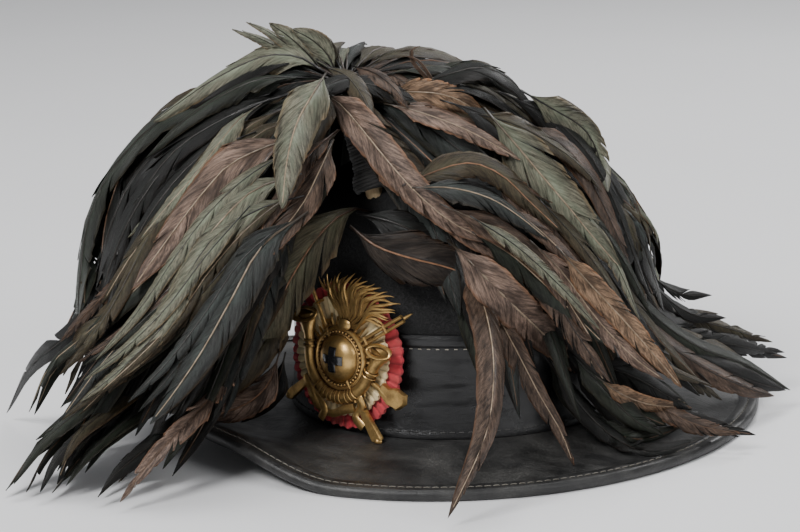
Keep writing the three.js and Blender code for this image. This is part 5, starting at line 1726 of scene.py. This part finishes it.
def row_depth(row, pixels):
    """How far behind the hat's middle a row's places lie."""
    if row["start"] is None:
        return on_fall(pixels) - row["over"]
    t = np.linspace(0, 1, len(pixels))
    end = row["end"] if row["low"] is None else depth_at_height(row["pixels"][-1], row["low"])
    return row["start"] + (end - row["start"]) * t - row["bow"] * np.sin(np.pi * t)


def placed_feathers(rows, seed, mates):
    """Feathers placed by the photograph, clear of the hat, or the ones that lie under each of them."""
    shape = Shape()
    for i, row in enumerate(rows):
        pixels = row["pixels"]
        t = np.linspace(0, 1, len(pixels))
        for k in range(row["mates"] if mates else 1):
            rng = np.random.default_rng(seed + 10 * i + k)
            tone, shaft, place, behind = row["tone"], row["shaft"], pixels, 0
            if mates:
                # Mates mostly take dark tones: partly the plume's own dark feathers, partly painted shade
                # between the feathers.
                tone = ("dark", "dark", row["tone"], "bronze", "green")[rng.integers(5)]
                shaft = ("dark", "dark", "brown", "pale")[rng.integers(4)]
                across = rng.uniform(-16, 16) * t + rng.uniform(-6, 6)
                push = np.column_stack([across, rng.uniform(-8, 8) * t])
                place = pixels[0] + (pixels - pixels[0]) * rng.uniform(0.86, 1.02) + push
                behind = rng.uniform(5, 20)
            path = at_depth(place, clear_of_hat(place, row_depth(row, place) + behind, RAY_CLEAR))
            add_feather(
                shape, keep_off(path, LINE_CLEAR), row["width"] * rng.uniform(0.8, 0.92), seed + 10 * i + k,
                tone=tone, shaft=shaft,
                roll=rng.uniform(-10, 10), skew=rng.uniform(-25, 25), ragged=row["ragged"],
                rows=VANE_ROWS // 2 if mates else VANE_ROWS, columns=5 if mates else 6, flat=row["flat"],
            )  # fmt: skip
    return shape


def fall_feathers(count, low, high, seed, tones, top):
    """Feathers between two headings that follow the plume's fall, some over and some under others."""
    shape = Shape()
    rng = np.random.default_rng(seed)
    for i in range(count):
        heading = low + (high - low) * (i + rng.uniform(0.1, 0.9)) / count
        under = rng.uniform(top, 1)
        reach, height = fall_lines(heading)
        out = reach * (1 - 0.14 * under) * rng.uniform(0.93, 1.0)
        turned = np.radians(heading + rng.uniform(-9, 9) * (1 - np.linspace(0, 1, len(out))))
        path = np.stack([
            STEM_TOP[0] + out * np.cos(turned),
            STEM_TOP[1] + out * np.sin(turned),
            np.maximum(height - 16 * under + rng.uniform(-2, 2), 6),
        ], axis=-1)
        kept = np.linspace(0, len(out) - 1, 8) * rng.uniform(0.82, 1.0)
        path = np.stack([np.interp(kept, np.arange(len(out)), path[:, k]) for k in range(3)], axis=-1)
        tone = tones[rng.integers(len(tones))]
        shaft = ("dark", "dark", "dark", "brown", "orange")[rng.integers(5)]
        add_feather(
            shape, keep_off(path, FALL_CLEAR - LOWEST_LESS * under), rng.uniform(15, 23), seed * 100 + i,
            tone=tone, shaft=shaft, roll=rng.uniform(-20, 20), skew=rng.uniform(-35, 35), rows=24,
            clear=FALL_VANE_CLEAR,
        )  # fmt: skip
    return shape


def build_plume(look):
    """All the feathers, in groups that each make one piece."""
    # The first vane material paints a blue green highlight and sheen into its colour.
    painted_sheen = feather_material("shimmering vane", True)
    materials = [painted_sheen, shaft_material(), feather_material("plain vane", False)]
    dark = ("dark", "green", "bronze", "dark", "blue")
    mixed = ("dark", "green", "bronze", "brown", "sage", "blue", "dark")
    share = look.feather_share / 100
    groups = {
        "feathers_left": placed_feathers(LEFT_FEATHERS, 5000, False),
        "feathers_right": placed_feathers(RIGHT_FEATHERS, 7000, False),
        "feathers_left_under": placed_feathers(LEFT_FEATHERS, 9000, True),
        "feathers_right_under": placed_feathers(RIGHT_FEATHERS, 11000, True),
    }
    falls = (
        # piece, feathers, first and last heading, seed, tones, how far under the top they start
        ("feathers_left_fall", 84, 150, 268, 11, dark, 0.2),
        ("feathers_right_fall", 50, -30, 50, 12, dark, 0.35),
        ("feathers_back_fall", 76, 40, 168, 13, mixed, 0.0),
    )
    for name, count, low, high, seed, tones, top in falls:
        groups[name] = fall_feathers(int(count * share), low, high, seed, tones, top)
    for name, shape in groups.items():
        piece = shape.piece(name, materials, closed=False)
        wall = piece.modifiers.new("vane thickness", "SOLIDIFY")
        wall.thickness = look.vane_thickness
        wall.offset = 0
        dress(piece, ["plume"])


# Stage


def build_stage():
    """The camera at the photograph's view, a pale floor, soft lights and a light surround."""
    scene = bpy.context.scene
    camera = bpy.data.cameras.new("camera")
    camera.sensor_width = 36.0
    camera.lens = FOCAL_PIXELS / IMAGE_WIDTH * camera.sensor_width
    camera.clip_end = 50.0
    holder = bpy.data.objects.new("camera", camera)
    turn = Matrix((CAMERA_RIGHT, CAMERA_UP, -CAMERA_AIM)).transposed()
    holder.matrix_world = Matrix.Translation(Vector(CAMERA_PLACE * MM)) @ turn.to_4x4()
    scene.collection.objects.link(holder)
    scene.camera = holder
    floor = bpy.data.meshes.new("floor")
    half = 6.0
    corners = [(-half, -half, 0), (half, -half, 0), (half, half, 0), (-half, half, 0)]
    floor.from_pydata(corners, [], [(0, 1, 2, 3)])
    board = bpy.data.objects.new("floor", floor)
    scene.collection.objects.link(board)
    pale, tree, surface = new_material("floor", Roughness=0.6)
    cloud = noise(tree, object_place(tree), 3.0, 2, 0.5)
    shade = mix_colour(tree, cloud, (0.78, 0.78, 0.79, 1), (0.84, 0.84, 0.85, 1))
    paint(tree, surface, shade)
    floor.materials.append(pale)
    lights = (
        # name, place in camera directions (right, towards the camera, up) in metres, size, watts
        ("key", (-0.9, 1.3, 1.25), 0.7, 37),
        ("fill", (1.3, 1.2, 0.9), 1.2, 13),
        ("top", (0.1, -0.4, 1.8), 1.0, 20),
        ("rim", (0.9, -1.3, 1.1), 0.8, 14),
    )
    target = Vector((HAT_CENTRE[0] * MM, HAT_CENTRE[1] * MM, 0.08))
    for name, (right, near, up), size, power in lights:
        lamp = bpy.data.lights.new(name, "AREA")
        lamp.shape = "DISK"
        lamp.size = size
        lamp.energy = power
        place = Vector(CAMERA_RIGHT) * right - Vector(AWAY) * near + Vector((0, 0, up))
        shown = bpy.data.objects.new(name, lamp)
        shown.location = target + place
        shown.rotation_euler = (-place).to_track_quat("-Z", "Y").to_euler()
        scene.collection.objects.link(shown)
    world = bpy.data.worlds.new("surround")
    scene.world = world
    world.use_nodes = True
    background = world.node_tree.nodes["Background"].inputs
    background["Color"].default_value = (0.86, 0.87, 0.9, 1)
    background["Strength"].default_value = 0.3


# The add-on's settings, operators and panel


class HatSettings(bpy.types.PropertyGroup):
    """Sizes that a user would change."""

    stitch_length: FloatProperty(
        name="Stitch Spacing", description="From stitch to stitch on the edge, in mm", default=4.2, min=2
    )
    vane_thickness: FloatProperty(
        name="Vane Thickness",
        description="Thickness of a feather's vane",
        default=0.0003,
        unit="LENGTH",
        min=0.0001,
    )
    feather_share: IntProperty(
        name="Feathers",
        description="How many of the inner feathers are made",
        default=100,
        min=10,
        max=150,
        subtype="PERCENTAGE",
    )


def colour_setting(name, description, default):
    """A colour's setting."""
    return FloatVectorProperty(name=name, description=description, subtype="COLOR", default=default)


class HatColours(bpy.types.PropertyGroup):
    """Colours that a user would change."""

    felt: colour_setting("Felt", "The crown's felt", (0.011, 0.011, 0.011))
    brim: colour_setting("Brim", "The brim's leather", (0.014, 0.014, 0.014))
    band: colour_setting("Band", "The band's leather", (0.005, 0.005, 0.0055))
    dust: colour_setting("Dust", "Dust on the leather", (0.16, 0.155, 0.145))
    red: colour_setting("Red", "The cockade's rim", (0.6, 0.038, 0.055))
    cream: colour_setting("Cream", "The cockade's centre", (0.86, 0.68, 0.38))
    brass: colour_setting("Brass", "Rubbed brass", (0.62, 0.4, 0.15))
    patina: colour_setting("Patina", "Aged brass", (0.1, 0.052, 0.024))


class Look:
    """The settings and colours of a scene, read by name."""

    def __init__(self, scene):
        for group in (scene.hat_settings, scene.hat_colours):
            for key in group.__annotations__:
                value = getattr(group, key)
                setattr(self, key, tuple(value) if hasattr(value, "__len__") else value)


class HAT_OT_stage(bpy.types.Operator):
    """Make the camera, floor and lights"""

    bl_idname = "hat.stage"
    bl_label = "Stage"

    def execute(self, context):
        build_stage()
        return {"FINISHED"}


class HAT_OT_crown(bpy.types.Operator):
    """Make the felt crown"""

    bl_idname = "hat.crown"
    bl_label = "Crown"

    def execute(self, context):
        build_crown(Look(context.scene))
        return {"FINISHED"}


class HAT_OT_brim(bpy.types.Operator):
    """Make the brim, its rolled edge and their stitches"""

    bl_idname = "hat.brim"
    bl_label = "Brim"

    def execute(self, context):
        look = Look(context.scene)
        build_brim(look)
        build_edge(look)
        build_stitches(look)
        return {"FINISHED"}


class HAT_OT_band(bpy.types.Operator):
    """Make the leather band and its stitches"""

    bl_idname = "hat.band"
    bl_label = "Band"

    def execute(self, context):
        look = Look(context.scene)
        build_band(look)
        build_band_stitches()
        return {"FINISHED"}


class HAT_OT_cockade(bpy.types.Operator):
    """Make the cockade's two pleated ruffles"""

    bl_idname = "hat.cockade"
    bl_label = "Cockade"

    def execute(self, context):
        build_cockade(Look(context.scene))
        return {"FINISHED"}


class HAT_OT_badge(bpy.types.Operator):
    """Make the cast badge and its enamel cross"""

    bl_idname = "hat.badge"
    bl_label = "Badge"

    def execute(self, context):
        build_badge(Look(context.scene))
        build_cross()
        return {"FINISHED"}


class HAT_OT_stem(bpy.types.Operator):
    """Make the plume's peg and its wound cloth"""

    bl_idname = "hat.stem"
    bl_label = "Stem"

    def execute(self, context):
        build_stem()
        return {"FINISHED"}


class HAT_OT_plume(bpy.types.Operator):
    """Make the plume's feathers"""

    bl_idname = "hat.plume"
    bl_label = "Plume"

    def execute(self, context):
        build_plume(Look(context.scene))
        return {"FINISHED"}


OPERATORS = (
    HAT_OT_stage, HAT_OT_crown, HAT_OT_brim, HAT_OT_band,
    HAT_OT_cockade, HAT_OT_badge, HAT_OT_stem, HAT_OT_plume,
)  # fmt: skip


class HAT_PT_panel(bpy.types.Panel):
    """Lists the hat's settings and pieces"""

    bl_idname = "HAT_PT_panel"
    bl_label = "Plumed Hat"
    bl_space_type = "VIEW_3D"
    bl_region_type = "UI"
    bl_category = "Hat"

    def draw(self, context):
        for group in (context.scene.hat_settings, context.scene.hat_colours):
            for key in group.__annotations__:
                self.layout.prop(group, key)
        for operator in OPERATORS:
            self.layout.operator(operator.bl_idname)


CLASSES = (HatSettings, HatColours, *OPERATORS, HAT_PT_panel)


def register():
    """Registers the classes and hangs the settings on the scene."""
    for cls in CLASSES:
        bpy.utils.register_class(cls)
    bpy.types.Scene.hat_settings = PointerProperty(type=HatSettings)
    bpy.types.Scene.hat_colours = PointerProperty(type=HatColours)


def unregister():
    """Takes the settings and the classes away again."""
    del bpy.types.Scene.hat_colours
    del bpy.types.Scene.hat_settings
    for cls in reversed(CLASSES):
        bpy.utils.unregister_class(cls)


def main():
    register()
    bpy.ops.hat.stage()
    bpy.ops.hat.plume()
    bpy.ops.hat.stem()
    bpy.ops.hat.crown()
    bpy.ops.hat.brim()
    bpy.ops.hat.band()
    bpy.ops.hat.cockade()
    bpy.ops.hat.badge()


if __name__ == "__main__":
    main()
